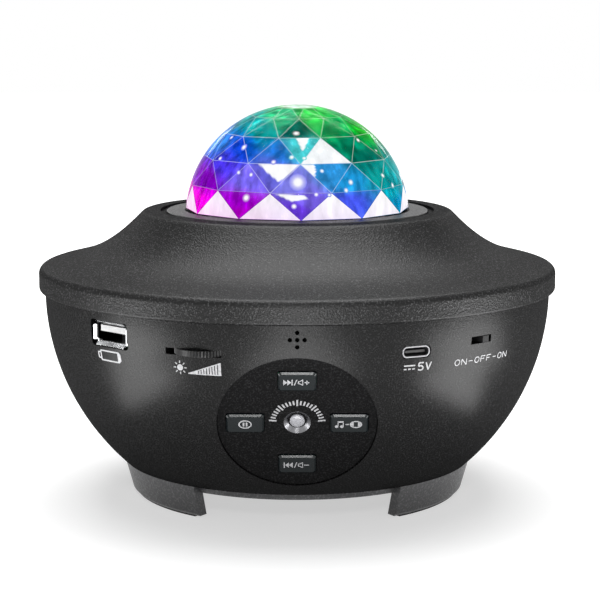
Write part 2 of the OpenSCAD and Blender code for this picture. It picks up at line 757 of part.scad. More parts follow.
// A gear's outline: each tooth runs root, pitch, tip and back
function gear_outline(teeth, root_wide) = [for (i = [0:teeth - 1]) for (p = tooth(teeth, root_wide))
    let (a = i * 360 / teeth + p[1]) [p[0] * cos(a), p[0] * sin(a)]];
function tooth(teeth, root_wide) = let (
    r = gear_m * teeth / 2,
    at_pitch = 90 / teeth * (1 - tooth_slack),
    at_tip = at_pitch - atan(tooth_add * tan(20) / r) * 1.25,
    at_root = at_pitch + root_wide * atan(tooth_ded * tan(20) / r))
    [[r - tooth_ded, -at_root], [r, -at_pitch], [r + tooth_add, -at_tip],
     [r + tooth_add, at_tip], [r, at_pitch], [r - tooth_ded, at_root]];

ripples = 18;
ripple_in_r = 11;
module effect_wheel() {
    rim_in = gear_m * wheel_teeth / 2 - tooth_ded - 1.6;
    color([0.8, 0.9, 1]) difference() {
        union() {
            translate([0, 0, wheel_z]) rotate([0, 0, 90]) linear_extrude(wheel_t) difference() {
                polygon(gear_outline(wheel_teeth, 1));
                circle(r = rim_in);
            }
            // Clear disc with radial ripples that bend the light
            translate([0, 0, wheel_z]) cylinder(r = rim_in + 0.4, h = 1.4);
            for (i = [0:ripples - 1]) rotate([0, 0, i * 360 / ripples]) translate([ripple_in_r, 0, wheel_z])
                intersection() {
                    translate([0, 0, -0.9]) rotate([0, 90, 0])
                        cylinder(r = 3, h = rim_in + 0.6 - ripple_in_r, $fn = 48);
                    translate([0, -1.6, 1]) cube([rim_in + 0.6 - ripple_in_r, 3.2, 2]);
                }
            translate([0, 0, hub_z]) cylinder(r = hub_r, h = hub_top - hub_z);
        }
        translate([0, 0, hub_z - 1]) cylinder(r = axle_r + run_gap, h = hub_top - hub_z + 2);
    }
}

module wheel_clip() {
    color(steel) difference() {
        ring(3, axle_r, hub_top + 0.1, hub_top + 0.7);
        translate([0, -2, hub_top]) block(1.6, 3, 2);
    }
}

module drive_motor() {
    color(steel) translate([0, gear_c, motor_z]) difference() {
        union() {
            cylinder(r = motor_r, h = motor_l - 1);
            cylinder(r = 3.4, h = motor_l);
        }
        translate([0, 0, 2]) cylinder(r = motor_shaft_r + run_gap, h = motor_l);
    }
}

module motor_shaft() {
    color(steel) translate([0, gear_c, motor_z + 2 + 0.2])
        cylinder(r = motor_shaft_r, h = wheel_z + wheel_t + 0.6 - motor_z - 2.2);
}

module motor_pinion() {
    gap_turn = 270 - 180 / pinion_teeth;
    color([0.9, 0.9, 0.85]) translate([0, gear_c, wheel_z - 0.4]) rotate([0, 0, gap_turn]) difference() {
        linear_extrude(wheel_t + 0.8) polygon(gear_outline(pinion_teeth, 0));
        translate([0, 0, -1]) cylinder(r = motor_shaft_r, h = wheel_t + 4);
    }
}

/* ---------- electronics ---------- */

module main_board() {
    color(green_board) difference() {
        sector(0, 2 * board_arc) translate([board_in_r, board_z - board_t])
            square([board_out_r - board_in_r, board_t]);
        on_panel() translate([0, 0, -24]) cylinder(r = panel_r + key_gap + pocket_wall + 1, h = 40);
        around([dial_az], dial_at_r) translate([0, 0, board_z - 5]) cylinder(r = pot_r + 0.2, h = 10);
        for (i = [0:len(standoff_az) - 1]) around([standoff_az[i]], standoff_at[i])
            translate([0, 0, board_z - 5]) cylinder(r = screw_m[2] + 0.15, h = 10);
    }
}

// Radio module, amplifier, two capacitors and the speaker's socket
module board_parts() {
    translate([0, 0, board_z]) {
        color(black) around([40], board_in_r + 10) block(9, 9, 1.4);
        color([0.1, 0.35, 0.25]) around([-38.5], board_in_r + 6.5) block(11, 9, 0.9);
        color([0.15, 0.2, 0.4]) around([14, 20], board_in_r + 5) cylinder(r = 2.4, h = 6);
        color([0.92, 0.9, 0.84]) around([-18], board_in_r + 4.5) block(7.5, 5, 5.6);
    }
}

usb_a_mouth = bowl_out(usb_a_z) - 0.8;
// One sheet lip that leaves the shell's wall at a distance from its middle
module usb_a_flare(w, wall_at) {
    root = wall_at - sheet_t / 2;
    translate([-w / 2, 0, 0]) rotate([90, 0, 90]) linear_extrude(w) polygon([
        [root - 0.12, -usb_a_lip_deep - 0.4], [root + 0.12, -usb_a_lip_deep - 0.4],
        [root + 0.15, -usb_a_lip_deep], [wall_at + usb_a_lip, 0],
        [wall_at + usb_a_lip - 0.3, 0.2], [root - 0.12, -usb_a_lip_deep + 0.15]]);
}

module usb_a_shell() {
    drop = usb_a_z - usb_a_h / 2 - board_z;
    color(steel) at_wall(usb_a_az, usb_a_z, usb_a_mouth) {
        translate([0, 0, -usb_a_l]) linear_extrude(usb_a_l - usb_a_lip_deep) difference() {
            square([usb_a_w, usb_a_h], center = true);
            square([usb_a_w - 2 * sheet_t, usb_a_h - 2 * sheet_t], center = true);
        }
        // Lips that flare from the mouth on its four sides
        for (side = [0, 1]) mirror([0, side, 0])
            usb_a_flare(usb_a_w - 1, usb_a_h / 2);
        for (side = [-90, 90]) rotate([0, 0, side])
            usb_a_flare(usb_a_side_lip_w, usb_a_w / 2);
        // Legs that stand on the board
        for (x = [-1, 1], z = [-usb_a_l + 1, -8])
            translate([x * (usb_a_w / 2 - sheet_t / 2), -usb_a_h / 2 - drop, z])
                translate([-sheet_t / 2, 0, 0]) cube([sheet_t, drop + sheet_t, 2]);
    }
}

module usb_a_tongue() {
    inner_w = usb_a_w - 2 * sheet_t - 2 * fit_gap;
    inner_h = usb_a_h - 2 * sheet_t - 2 * fit_gap;
    color([0.9, 0.9, 0.9]) at_wall(usb_a_az, usb_a_z, usb_a_mouth) {
        translate([-inner_w / 2, -inner_h / 2, -usb_a_l + 0.3]) cube([inner_w, inner_h, 3.5]);
        translate([-5.55, 0.35, -usb_a_l + 0.3]) cube([11.1, 1.84, usb_a_l - 1.6]);
    }
}

usb_c_mouth = bowl_out(usb_c_z) - 0.35;
module usb_c_shell() {
    color(steel) at_wall(usb_c_az, usb_c_z, usb_c_mouth - usb_c_l) difference() {
        linear_extrude(usb_c_l) round_rect(usb_c_w, usb_c_h, usb_c_h / 2 - 0.1);
        translate([0, 0, 1]) linear_extrude(usb_c_l)
            round_rect(usb_c_w - 2 * sheet_t, usb_c_h - 2 * sheet_t, usb_c_h / 2 - sheet_t - 0.1);
    }
}

module usb_c_tongue() {
    color(black) at_wall(usb_c_az, usb_c_z, usb_c_mouth - usb_c_l + 1) {
        linear_extrude(1.2) round_rect(usb_c_w - 2 * sheet_t - 0.2, usb_c_h - 2 * sheet_t - 0.2, 1.1);
        translate([-3.35, -0.35, 0]) cube([6.7, 0.7, usb_c_l - 2]);
    }
}

module brightness_dial() {
    color(black) around([dial_az], dial_at_r) {
        translate([0, 0, dial_z - dial_t / 2]) linear_extrude(dial_t) polygon(
            [for (i = [0:2 * dial_ridges - 1]) let (a = i * 180 / dial_ridges, r = dial_r - 0.45 * (i % 2))
                [r * cos(a), r * sin(a)]]);
        translate([0, 0, board_z - pot_deep + 0.5])
            cylinder(r = dial_hub_r, h = dial_z - board_z + pot_deep - 0.5);
    }
}

module dial_pot() {
    ear_t = 0.5;
    color(green_board * 0.6) around([dial_az], dial_at_r) difference() {
        union() {
            translate([0, 0, board_z - pot_deep]) cylinder(r = pot_r, h = pot_deep + ear_t);
            translate([0, 0, board_z]) block(13, 3, ear_t);
        }
        translate([0, 0, board_z - pot_deep + 0.4]) cylinder(r = dial_hub_r + run_gap, h = 10);
    }
}

switch_face = bowl_in(switch_z) - 0.6;
module switch_body() {
    drop = switch_z - switch_can_h / 2 - board_z;
    color(steel) at_wall(switch_az, switch_z, switch_face) difference() {
        union() {
            translate([-switch_can_w / 2, -switch_can_h / 2, -switch_can_l])
                cube([switch_can_w, switch_can_h, switch_can_l]);
            for (x = [-1, 1]) translate([x * (switch_can_w / 2 - 0.5) - 0.5, -switch_can_h / 2 - drop, -3])
                cube([1, drop + 1, 2]);
        }
        // Track of the slider's carrier and the slot that its knob comes out of
        translate([-(switch_can_w / 2 - 0.5), -switch_can_h / 2 + 0.7, -switch_can_l + 0.8])
            cube([switch_can_w - 1, switch_can_h - 1.4, switch_can_l - 1.6]);
        translate([-(switch_travel + switch_knob_w) / 2 - slide_gap, -switch_knob_h / 2 - 0.15, -2])
            cube([switch_travel + switch_knob_w + 2 * slide_gap, switch_knob_h + 0.3, 3]);
    }
}

module switch_slider() {
    color(black) at_wall(switch_az, switch_z, switch_face) translate([switch_rest, 0, 0]) {
        translate([-1.7, -1.4, -switch_can_l + 1]) cube([3.4, 2.8, switch_can_l - 2]);
        translate([-switch_knob_w / 2, -switch_knob_h / 2, -2])
            cube([switch_knob_w, switch_knob_h, bowl_out(switch_z) + 0.2 - switch_face + 2]);
    }
}

module mic_capsule() {
    color(steel) at_wall(0, mic_z, bowl_in(mic_z)) translate([0, 0, -2.5]) cylinder(r = mic_r, h = 2.2);
}

/* ---------- key panel ---------- */

key_spots = [[0, 1], [-1, 0], [1, 0], [0, -1]];
key_post_azs = [45, 135, 225, 315];

module control_panel() {
    color(black) on_panel() difference() {
        union() {
            translate([0, 0, panel_back]) cylinder(r = panel_r, h = panel_t);
            for (a = key_post_azs) rotate([0, 0, a]) translate([key_post_at, 0, key_board_z])
                cylinder(r = key_post_r, h = panel_back - key_board_z + 1);
        }
        for (p = key_spots) translate([p[0] * key_pitch, p[1] * key_pitch, panel_back - 1])
            linear_extrude(panel_t + 2) round_rect(key_w + 2 * key_gap, key_h + 2 * key_gap, key_round);
        // Funnel and bore of the receiver's window
        translate([0, 0, panel_face - 1.2])
            cylinder(r1 = ir_window_r + 0.5, r2 = ir_funnel_r, h = 1.2 + eps);
        translate([0, 0, panel_back - 1]) cylinder(r = ir_window_r + fit_gap, h = panel_t + 2);
        for (a = key_post_azs) rotate([0, 0, a]) translate([key_post_at, 0, key_board_z - eps])
            cylinder(r = screw_s[2] + pilot_gap, h = 5);
    }
}

// One key: a cap with a small bevel, a flange that keeps it in, and the stem that presses its switch
module key_at(spot) {
    cap_top = panel_face + key_proud;
    flange_z = panel_back - 0.05 - key_flange;
    on_panel() translate([spot[0] * key_pitch, spot[1] * key_pitch, 0]) {
        translate([0, 0, flange_z]) linear_extrude(cap_top - key_bevel - flange_z)
            round_rect(key_w, key_h, key_round);
        hull() {
            translate([0, 0, cap_top - key_bevel - eps]) linear_extrude(eps)
                round_rect(key_w, key_h, key_round);
            translate([0, 0, cap_top - eps]) linear_extrude(eps)
                round_rect(key_w - 2 * key_bevel, key_h - 2 * key_bevel, key_round - key_bevel / 2);
        }
        translate([0, 0, flange_z]) block(key_w - 2, key_h + 2 * key_flange_w, key_flange);
        translate([0, 0, stem_end]) cylinder(r = stem_r, h = stem_l + 0.5);
    }
}

module next_key() { color([0.27, 0.3, 0.32]) key_at(key_spots[0]); }
module pause_key() { color([0.27, 0.3, 0.32]) key_at(key_spots[1]); }
module mode_key() { color([0.27, 0.3, 0.32]) key_at(key_spots[2]); }
module previous_key() { color([0.27, 0.3, 0.32]) key_at(key_spots[3]); }

module ir_lens() {
    top = panel_face - 0.7;
    color([0.8, 0.82, 0.85]) on_panel() {
        translate([0, 0, panel_back - 1]) cylinder(r = ir_window_r, h = top - panel_back + 1);
        translate([0, 0, panel_back - 1]) cylinder(r = ir_window_r + 1, h = 1);
        intersection() {
            translate([0, 0, top - 3.2]) sphere(r = 3.8);
            translate([0, 0, top - eps]) cylinder(r = ir_window_r, h = 2);
        }
    }
}

module ir_receiver() {
    top = panel_back - 1.3;
    color(grey) on_panel() {
        translate([0, 0, ir_z]) block(5.6, 6.4, top - 1.4 - ir_z);
        translate([0, 0, top - 1.5]) cylinder(r = 1.9, h = 1.5);
    }
}

module key_board() {
    color(green_board) on_panel() difference() {
        translate([0, 0, key_board_z - key_board_t]) cylinder(r = key_board_r, h = key_board_t);
        for (a = key_post_azs) rotate([0, 0, a]) translate([key_post_at, 0, key_board_z - 5])
            cylinder(r = screw_s[2] + 0.15, h = 10);
    }
}

module tact_switches() {
    color(grey) on_panel() for (p = key_spots)
        translate([p[0] * (key_pitch - 0.4), p[1] * (key_pitch - 0.4), key_board_z]) {
            block(tact_w, tact_w, tact_h);
            cylinder(r = 1.7, h = tact_h + tact_button_h);
        }
}

/* ---------- screws ---------- */

module base_screws() {
    color(steel) around(gap_azs, base_screw_r)
        translate([0, 0, plate_z + 1.2]) mirror([0, 0, 1]) screw(screw_m, 7);
}

module cover_screws() {
    color(steel) around(foot_azs, post_at_r)
        translate([0, 0, post_seat]) mirror([0, 0, 1]) screw(screw_l, post_screw_l);
}

module board_screws() {
    color(steel) for (i = [0:len(standoff_az) - 1]) around([standoff_az[i]], standoff_at[i])
        translate([0, 0, board_z]) screw(screw_m, 6);
}

module housing_screws() {
    color(steel) around(housing_screw_azs, housing_screw_at)
        translate([0, 0, housing_z - housing_flange_t]) mirror([0, 0, 1])
            screw(screw_m, housing_flange_t + housing_pilot_deep - 0.3);
}

module speaker_screws() {
    color(steel) around(gap_azs, speaker_screw_at)
        translate([0, 0, speaker_z + speaker_flange_t]) screw([2.8, 1.2, screw_s[2]], 3.8);
}

module key_board_screws() {
    color(steel) on_panel() for (a = key_post_azs) rotate([0, 0, a])
        translate([key_post_at, 0, key_board_z - key_board_t]) mirror([0, 0, 1]) screw(screw_s, 5.5);
}

module bridge_screws() {
    color(steel) for (s = [-1, 1]) translate([s * (chamber_bore - 2), 0, bridge_z + bridge_t])
        screw([1.5, 1, 0.8], 4.5);
}

/* ---------- nodes ---------- */

foot_pads();
base_cover();
bowl_body();
top_cover();
dome_ring();
crystal_dome();
optics_housing();
heat_sink();
led_board();
leds();
led_lens();
laser_module();
laser_grating();
lens_bridge();
effect_wheel();
wheel_clip();
drive_motor();
motor_shaft();
motor_pinion();
speaker_frame();
speaker_cone();
speaker_magnet();
main_board();
board_parts();
usb_a_shell();
usb_a_tongue();
usb_c_shell();
usb_c_tongue();
brightness_dial();
dial_pot();
switch_body();
switch_slider();
mic_capsule();
control_panel();
next_key();
pause_key();
mode_key();
previous_key();
ir_lens();
ir_receiver();
key_board();
tact_switches();
base_screws();
cover_screws();
board_screws();
housing_screws();
speaker_screws();
key_board_screws();
bridge_screws();
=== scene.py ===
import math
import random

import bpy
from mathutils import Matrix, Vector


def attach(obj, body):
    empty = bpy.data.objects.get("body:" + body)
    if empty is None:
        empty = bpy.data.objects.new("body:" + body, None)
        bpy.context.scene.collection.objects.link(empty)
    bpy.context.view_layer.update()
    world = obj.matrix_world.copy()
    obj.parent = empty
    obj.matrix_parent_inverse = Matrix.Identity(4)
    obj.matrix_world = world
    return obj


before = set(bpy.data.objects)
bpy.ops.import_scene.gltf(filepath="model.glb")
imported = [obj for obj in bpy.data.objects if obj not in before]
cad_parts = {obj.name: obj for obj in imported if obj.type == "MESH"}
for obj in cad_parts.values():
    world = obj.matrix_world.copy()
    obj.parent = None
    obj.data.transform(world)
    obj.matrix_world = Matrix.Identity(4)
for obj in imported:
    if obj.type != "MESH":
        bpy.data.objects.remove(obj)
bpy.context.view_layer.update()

# Looks of the star night light projector: a finish for each solid, the lit facets and star spots inside
# the wall of the clear dome, the printed signs, and the studio.
# Lengths are in millimetres and become metres by MM when a mesh is made. The scales of noise, the depths
# of bumps, the lamps, the floor and the camera are in metres. Angles called az are measured from the front
# (-Y) towards +X. Colours are in linear light.

MM = 0.001
rad = math.radians

# Sizes of the solids that the pieces below sit on.
# The bowl's wall is an arc whose centre is at the seam's height, BOWL_CX away from the axis
BOWL_CX, BOWL_ARC, SEAM_Z = 6.2, 75.4, 66.5
COLLAR_Z = 91.2
# The key panel faces a little down; its middle is PANEL_OUT before the axis and PANEL_Z high
PANEL_TILT, PANEL_OUT, PANEL_Z = rad(25.4), 70.789, 35.832
# Heights over the panel's plane of its sunk face and of the keys' tops
PANEL_FACE, KEY_TOP = -0.3, 0.6
KEY_PITCH = 15.2
# The dome over the collar: its radius, its height, and the outer ball through both
DOME_R, DOME_H = 36.1, 33.8
BALL_R = (DOME_R ** 2 + DOME_H ** 2) / (2 * DOME_H)
DOME_MID = DOME_H - BALL_R


# ---------- materials ----------

# A high index makes the gloss of a thin coat almost the same from every side
GLOSS_IOR = 4.0
FINE_BUMP = 0.00001
ACRYLIC_IOR = 1.49
# Low on purpose: at acrylic's own index the dome's white reflections hide its colours
DOME_IOR = 1.05


def material(name):
    mat = bpy.data.materials.new(name)
    mat.use_nodes = True
    return mat, mat.node_tree, mat.node_tree.nodes["Principled BSDF"]


def put(shader, color, rough, metallic=0.0, specular=0.5, coat=0.0, coat_rough=0.1):
    """Sets the shader's own sockets."""
    shader.inputs["Base Color"].default_value = (*color, 1)
    shader.inputs["Roughness"].default_value = rough
    shader.inputs["Metallic"].default_value = metallic
    shader.inputs["Specular IOR Level"].default_value = specular
    shader.inputs["Coat Weight"].default_value = coat
    shader.inputs["Coat Roughness"].default_value = coat_rough


def add_node(tree, kind, values):
    """A new node with its sockets set by name."""
    node = tree.nodes.new(kind)
    for socket, value in values.items():
        node.inputs[socket].default_value = value
    return node


def noise(tree, scale, detail=2.0, stretch=(1, 1, 1)):
    """Noise in the object's own space, so it stays with the surface."""
    coord = tree.nodes.new("ShaderNodeTexCoord")
    mapping = add_node(tree, "ShaderNodeMapping", {"Scale": stretch})
    tex = add_node(tree, "ShaderNodeTexNoise", {"Scale": scale, "Detail": detail})
    tree.links.new(coord.outputs["Object"], mapping.inputs["Vector"])
    tree.links.new(mapping.outputs["Vector"], tex.inputs["Vector"])
    return tex.outputs["Fac"]


def ramp(tree, value, stops):
    """Turns a value into a colour, by stops of a position and a colour."""
    node = tree.nodes.new("ShaderNodeValToRGB")
    tree.links.new(value, node.inputs["Fac"])
    elements = node.color_ramp.elements
    while len(elements) < len(stops):
        elements.new(0.5)
    for element, (pos, color) in zip(elements, stops):
        element.position = pos
        element.color = (*color, 1)
    return node.outputs["Color"]


def vary(tree, shader, socket, value, stops):
    """Varies one of the shader's sockets with a value."""
    tree.links.new(ramp(tree, value, stops), shader.inputs[socket])


def bump(tree, shader, value, depth, strength=1.0):
    node = add_node(tree, "ShaderNodeBump", {"Strength": strength, "Distance": depth})
    tree.links.new(value, node.inputs["Height"])
    for socket in ("Normal", "Coat Normal"):
        tree.links.new(node.outputs["Normal"], shader.inputs[socket])


def grey(v):
    """A very slightly cold grey, as black plastic has."""
    return (v, v, v * 1.03)


def even(v):
    return (v, v, v)


def shade(color, factor):
    return tuple(c * factor for c in color)


def tint(r, g, b):
    """A colour as a screen shows it, from 0 to 100, in linear light."""
    return tuple((v / 100) ** 2.2 for v in (r, g, b))


def mix(a, b, t):
    t = min(max(t, 0.0), 1.0)
    return tuple(x + (y - x) * t for x, y in zip(a, b))


def moulded(name, dark, light, rough, grain=1500, depth=0.00006, specular=0.25, low=0.5, high=0.7, tops=0.0):
    """Spark-textured plastic: fine pits, and grains whose glossy tops catch the light.

    The noise turns from dark to light between low and high, and tops is how much gloss there is."""
    mat, tree, shader = material(name)
    put(shader, dark, rough, specular=specular, coat=tops, coat_rough=rough)
    shader.inputs["Coat IOR"].default_value = GLOSS_IOR
    fine = noise(tree, grain)
    vary(tree, shader, "Base Color", fine, [(low, dark), (high, light)])
    vary(tree, shader, "Roughness", fine, [(0.3, even(rough + 0.08)), (0.7, even(rough - 0.08))])
    bump(tree, shader, fine, depth)
    return mat


def metal(name, color, rough, brushed=False):
    mat, tree, shader = material(name)
    put(shader, color, rough, metallic=1.0)
    value = noise(tree, 900, stretch=(1, 1, 14) if brushed else (1, 1, 1))
    vary(tree, shader, "Roughness", value, [(0.3, even(max(rough - 0.08, 0.05))), (0.7, even(rough + 0.1))])
    bump(tree, shader, value, FINE_BUMP, 0.4)
    return mat


def smooth_plastic(name, color, rough, specular=0.5, coat=0.0):
    mat, tree, shader = material(name)
    put(shader, color, rough, specular=specular, coat=coat)
    value = noise(tree, 700, 3.0)
    vary(tree, shader, "Base Color", value, [(0.3, shade(color, 0.82)), (0.7, color)])
    bump(tree, shader, value, FINE_BUMP, 0.5)
    return mat


def board(name, color):
    """Circuit board: solder mask over faint tracks."""
    mat, tree, shader = material(name)
    put(shader, color, 0.35)
    coord = tree.nodes.new("ShaderNodeTexCoord")
    brick = add_node(tree, "ShaderNodeTexBrick", {
        "Scale": 160, "Mortar Size": 0.03, "Color1": (*color, 1), "Color2": (*shade(color, 0.8), 1),
        "Mortar": (*shade(color, 1.7), 1)})
    tree.links.new(coord.outputs["Object"], brick.inputs["Vector"])
    tree.links.new(brick.outputs["Color"], shader.inputs["Base Color"])
    bump(tree, shader, brick.outputs["Fac"], 0.00003)
    return mat


def clear(name, color, rough=0.05, ior=ACRYLIC_IOR):
    """Clear moulded plastic with a faint waviness."""
    mat, tree, shader = material(name)
    put(shader, color, rough)
    shader.inputs["Transmission Weight"].default_value = 1.0
    shader.inputs["IOR"].default_value = ior
    bump(tree, shader, noise(tree, 60, 1.0), 0.00003, 0.3)
    return mat


def port_steel_with_painted_shade(name, az, mouth, low, color):
    """Sheet steel with painted shade: bright at a port's mouth and painted dark further in, along the port's
    own axis.

    The mouth's distance from the object's axis and the height low are in millimetres. The painted shade sets
    in from 0.3 to 0.6 mm inside the mouth. Under low, the port's floor is kept bright, free of the painted
    shade, for 2 mm more."""
    mat, tree, shader = material(name)
    put(shader, color, 0.25, metallic=1.0)
    coord = tree.nodes.new("ShaderNodeTexCoord").outputs["Object"]
    along = tree.nodes.new("ShaderNodeVectorMath")
    along.operation = "DOT_PRODUCT"
    along.inputs[1].default_value = (math.sin(rad(az)) / MM, -math.cos(rad(az)) / MM, 0)
    tree.links.new(coord, along.inputs[0])
    split = tree.nodes.new("ShaderNodeSeparateXYZ")
    tree.links.new(coord, split.inputs[0])
    below = add_node(tree, "ShaderNodeMapRange", {
        "From Min": low * MM, "From Max": (low + 0.5) * MM, "To Min": 2.0, "To Max": 0.0})
    tree.links.new(split.outputs["Z"], below.inputs["Value"])
    out = tree.nodes.new("ShaderNodeMath")
    out.operation = "ADD"
    tree.links.new(along.outputs["Value"], out.inputs[0])
    tree.links.new(below.outputs["Result"], out.inputs[1])
    bright = add_node(tree, "ShaderNodeMapRange", {"From Min": mouth - 0.6, "From Max": mouth - 0.3})
    tree.links.new(out.outputs[0], bright.inputs["Value"])
    # Painted shade: the steel's colour goes near black inside the port, where real steel would only lie in
    # shade
    vary(tree, shader, "Base Color", bright.outputs["Result"], [(0.0, grey(0.012)), (1.0, color)])
    bump(tree, shader, noise(tree, 900), FINE_BUMP, 0.3)
    return mat


def printed_ink():
    mat, tree, shader = material("white_ink")
    put(shader, (0.61, 0.61, 0.63), 0.6)
    vary(tree, shader, "Base Color", noise(tree, 1500), [(0.3, grey(0.33)), (0.6, grey(0.49))])
    return mat


def crystal_glow():
    """Lit facets: the mesh's own colours, with streaks as strong as their alpha says."""
    mat, tree, shader = material("crystal_glow")
    put(shader, (0.0, 0.0, 0.0), 0.5, specular=0.0)
    own = tree.nodes.new("ShaderNodeAttribute")
    own.attribute_name = "glow"
    streaks = ramp(tree, noise(tree, 330, 7.0, (1, 1, 0.45)),
                   [(0.36, grey(0.15)), (0.47, grey(0.9)), (0.56, grey(1.25)), (0.66, grey(2.6))])
    blend = tree.nodes.new("ShaderNodeMix")
    blend.data_type = "RGBA"
    blend.blend_type = "MULTIPLY"
    # The mix node's colour sockets are its inputs 6 and 7 and its output 2
    tree.links.new(own.outputs["Alpha"], blend.inputs["Factor"])
    tree.links.new(own.outputs["Color"], blend.inputs[6])
    tree.links.new(streaks, blend.inputs[7])
    tree.links.new(blend.outputs[2], shader.inputs["Emission Color"])
    shader.inputs["Emission Strength"].default_value = 1.0
    return mat


casing = moulded("casing_plastic", grey(0.003), grey(0.028), 0.25, grain=2400, specular=0.0,
                 low=0.54, high=0.72, tops=0.045)
lid = moulded("lid_plastic", grey(0.002), grey(0.055), 0.28, grain=2000, depth=0.00017, specular=0.0,
              low=0.54, high=0.72, tops=0.063)
ring_plastic = moulded("ring_plastic", grey(0.012), grey(0.03), 0.45, specular=0.15)
base_plastic = moulded("base_plastic", grey(0.07), grey(0.145), 0.4, specular=0.4)
panel_plastic = moulded("panel_plastic", grey(0.007), grey(0.024), 0.5, grain=2200, specular=0.03)
key_rubber = moulded("key_rubber", (0.005, 0.008, 0.009), (0.009, 0.013, 0.015), 0.2, grain=3500,
                     depth=FINE_BUMP, specular=0.0, tops=0.08)
pad_rubber = moulded("pad_rubber", grey(0.012), grey(0.022), 0.8, grain=900, depth=0.00008)
paper_cone = moulded("paper_cone", grey(0.014), grey(0.03), 0.85, grain=700, depth=0.0001)
dial_plastic = smooth_plastic("dial_plastic", grey(0.012), 0.35, specular=0.3, coat=0.12)
slider_plastic = smooth_plastic("slider_plastic", grey(0.014), 0.6, specular=0.2)
chip_plastic = smooth_plastic("chip_plastic", grey(0.02), 0.45)
pit_black = smooth_plastic("pit_black", grey(0.003), 0.7, specular=0.05)
tongue_plastic = smooth_plastic("tongue_plastic", even(0.5), 0.35, specular=0.3)
white_plastic = smooth_plastic("white_plastic", (0.8, 0.8, 0.78), 0.3, coat=0.4)
ir_milky = smooth_plastic("ir_milky", (0.42, 0.42, 0.45), 0.15, coat=0.6)
nickel_steel = metal("nickel_steel", (0.66, 0.67, 0.69), 0.22)
screw_steel = metal("screw_steel", (0.5, 0.5, 0.52), 0.35)
satin_steel = metal("satin_steel", (0.3, 0.3, 0.31), 0.42)
bezel_metal = metal("bezel_metal", (0.2, 0.2, 0.21), 0.25)
magnet_metal = metal("magnet_metal", (0.16, 0.16, 0.17), 0.5)
sink_metal = metal("sink_metal", (0.7, 0.71, 0.73), 0.35, brushed=True)
laser_brass = metal("laser_brass", (0.72, 0.5, 0.22), 0.25)
usb_a_steel = port_steel_with_painted_shade("usb_a_steel", az=-43.5, mouth=80.5, low=57.6, color=(0.75, 0.76, 0.77))
green_board = board("green_board", (0.015, 0.12, 0.05))
white_board = board("white_board", (0.62, 0.63, 0.6))
clear_lens = clear("clear_lens", (0.85, 0.92, 0.97))
dome_glass = clear("dome_glass", even(1.0), 0.02, DOME_IOR)
white_ink = printed_ink()
glow = crystal_glow()

# The finish of each solid; the screws take screw_steel
FINISH = {
    "bowl_body": casing, "top_cover": lid, "dome_ring": ring_plastic, "base_cover": base_plastic,
    "foot_pads": pad_rubber, "crystal_dome": dome_glass,
    "control_panel": panel_plastic, "next_key": key_rubber, "pause_key": key_rubber,
    "mode_key": key_rubber, "previous_key": key_rubber, "ir_lens": ir_milky, "ir_receiver": chip_plastic,
    "key_board": green_board, "tact_switches": chip_plastic,
    "usb_a_shell": usb_a_steel, "usb_a_tongue": tongue_plastic,
    "usb_c_shell": satin_steel, "usb_c_tongue": chip_plastic,
    "brightness_dial": dial_plastic, "dial_pot": chip_plastic,
    "switch_slider": slider_plastic, "switch_body": pit_black, "mic_capsule": pit_black,
    "main_board": green_board, "board_parts": chip_plastic,
    "optics_housing": base_plastic, "heat_sink": sink_metal, "led_board": white_board,
    "leds": white_plastic, "led_lens": clear_lens, "laser_module": laser_brass,
    "laser_grating": clear_lens, "lens_bridge": base_plastic, "effect_wheel": clear_lens,
    "wheel_clip": screw_steel, "drive_motor": nickel_steel, "motor_shaft": screw_steel,
    "motor_pinion": white_plastic,
    "speaker_frame": nickel_steel, "speaker_cone": paper_cone, "speaker_magnet": magnet_metal,
}
for node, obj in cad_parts.items():
    if obj.type == "MESH":
        obj.data.materials.clear()
        obj.data.materials.append(FINISH.get(node, screw_steel))


def add_mesh(name, verts, faces, mat):
    """A mesh object from points in metres."""
    mesh = bpy.data.meshes.new(name)
    mesh.from_pydata(verts, [], faces)
    mesh.materials.append(mat)
    obj = bpy.data.objects.new(name, mesh)
    bpy.context.collection.objects.link(obj)
    return obj


# ---------- dome ----------

# The lit facets lie inside the dome's wall: the corners are on a ball this far under the outer one
FACET_R = BALL_R - 0.9
FACETS, DOME_PHASE = 11, 2.0
# Where the rows of corners are, as shares of the angle from the collar to the top
ROW_STEPS = [0, 0.156, 0.336, 0.526, 0.715, 0.88]
BANDS = len(ROW_STEPS) - 1
# Width of the line along a facet's edges, which above the foot carries a painted highlight
EDGE_LINE = 0.09
# Steps of the colour grid in a facet, and in one that holds a white patch
GRID, PATCH_GRID = 6, 24
WHITE = (1.0, 1.0, 1.0)
PALE = tint(98, 92, 99)
# A facet's own brightness is random: GAIN and up to GAIN_MORE over it
GAIN, GAIN_MORE = 0.85, 0.3
# How much of a facet's colour follows the place on it; the rest is the same all over it
BY_PLACE = 0.6
# A colour's fourth value says how strong the streaks are there
FOOT_STREAK, TOP_STREAK = 0.12, 0.4
rng = random.Random(11)

# How the lamps blend: a lamp's weight falls with the distance, and faster upwards than sideways
LAMP_SPREAD, LAMP_UP, LAMP_POWER = 3, 1.3, 3
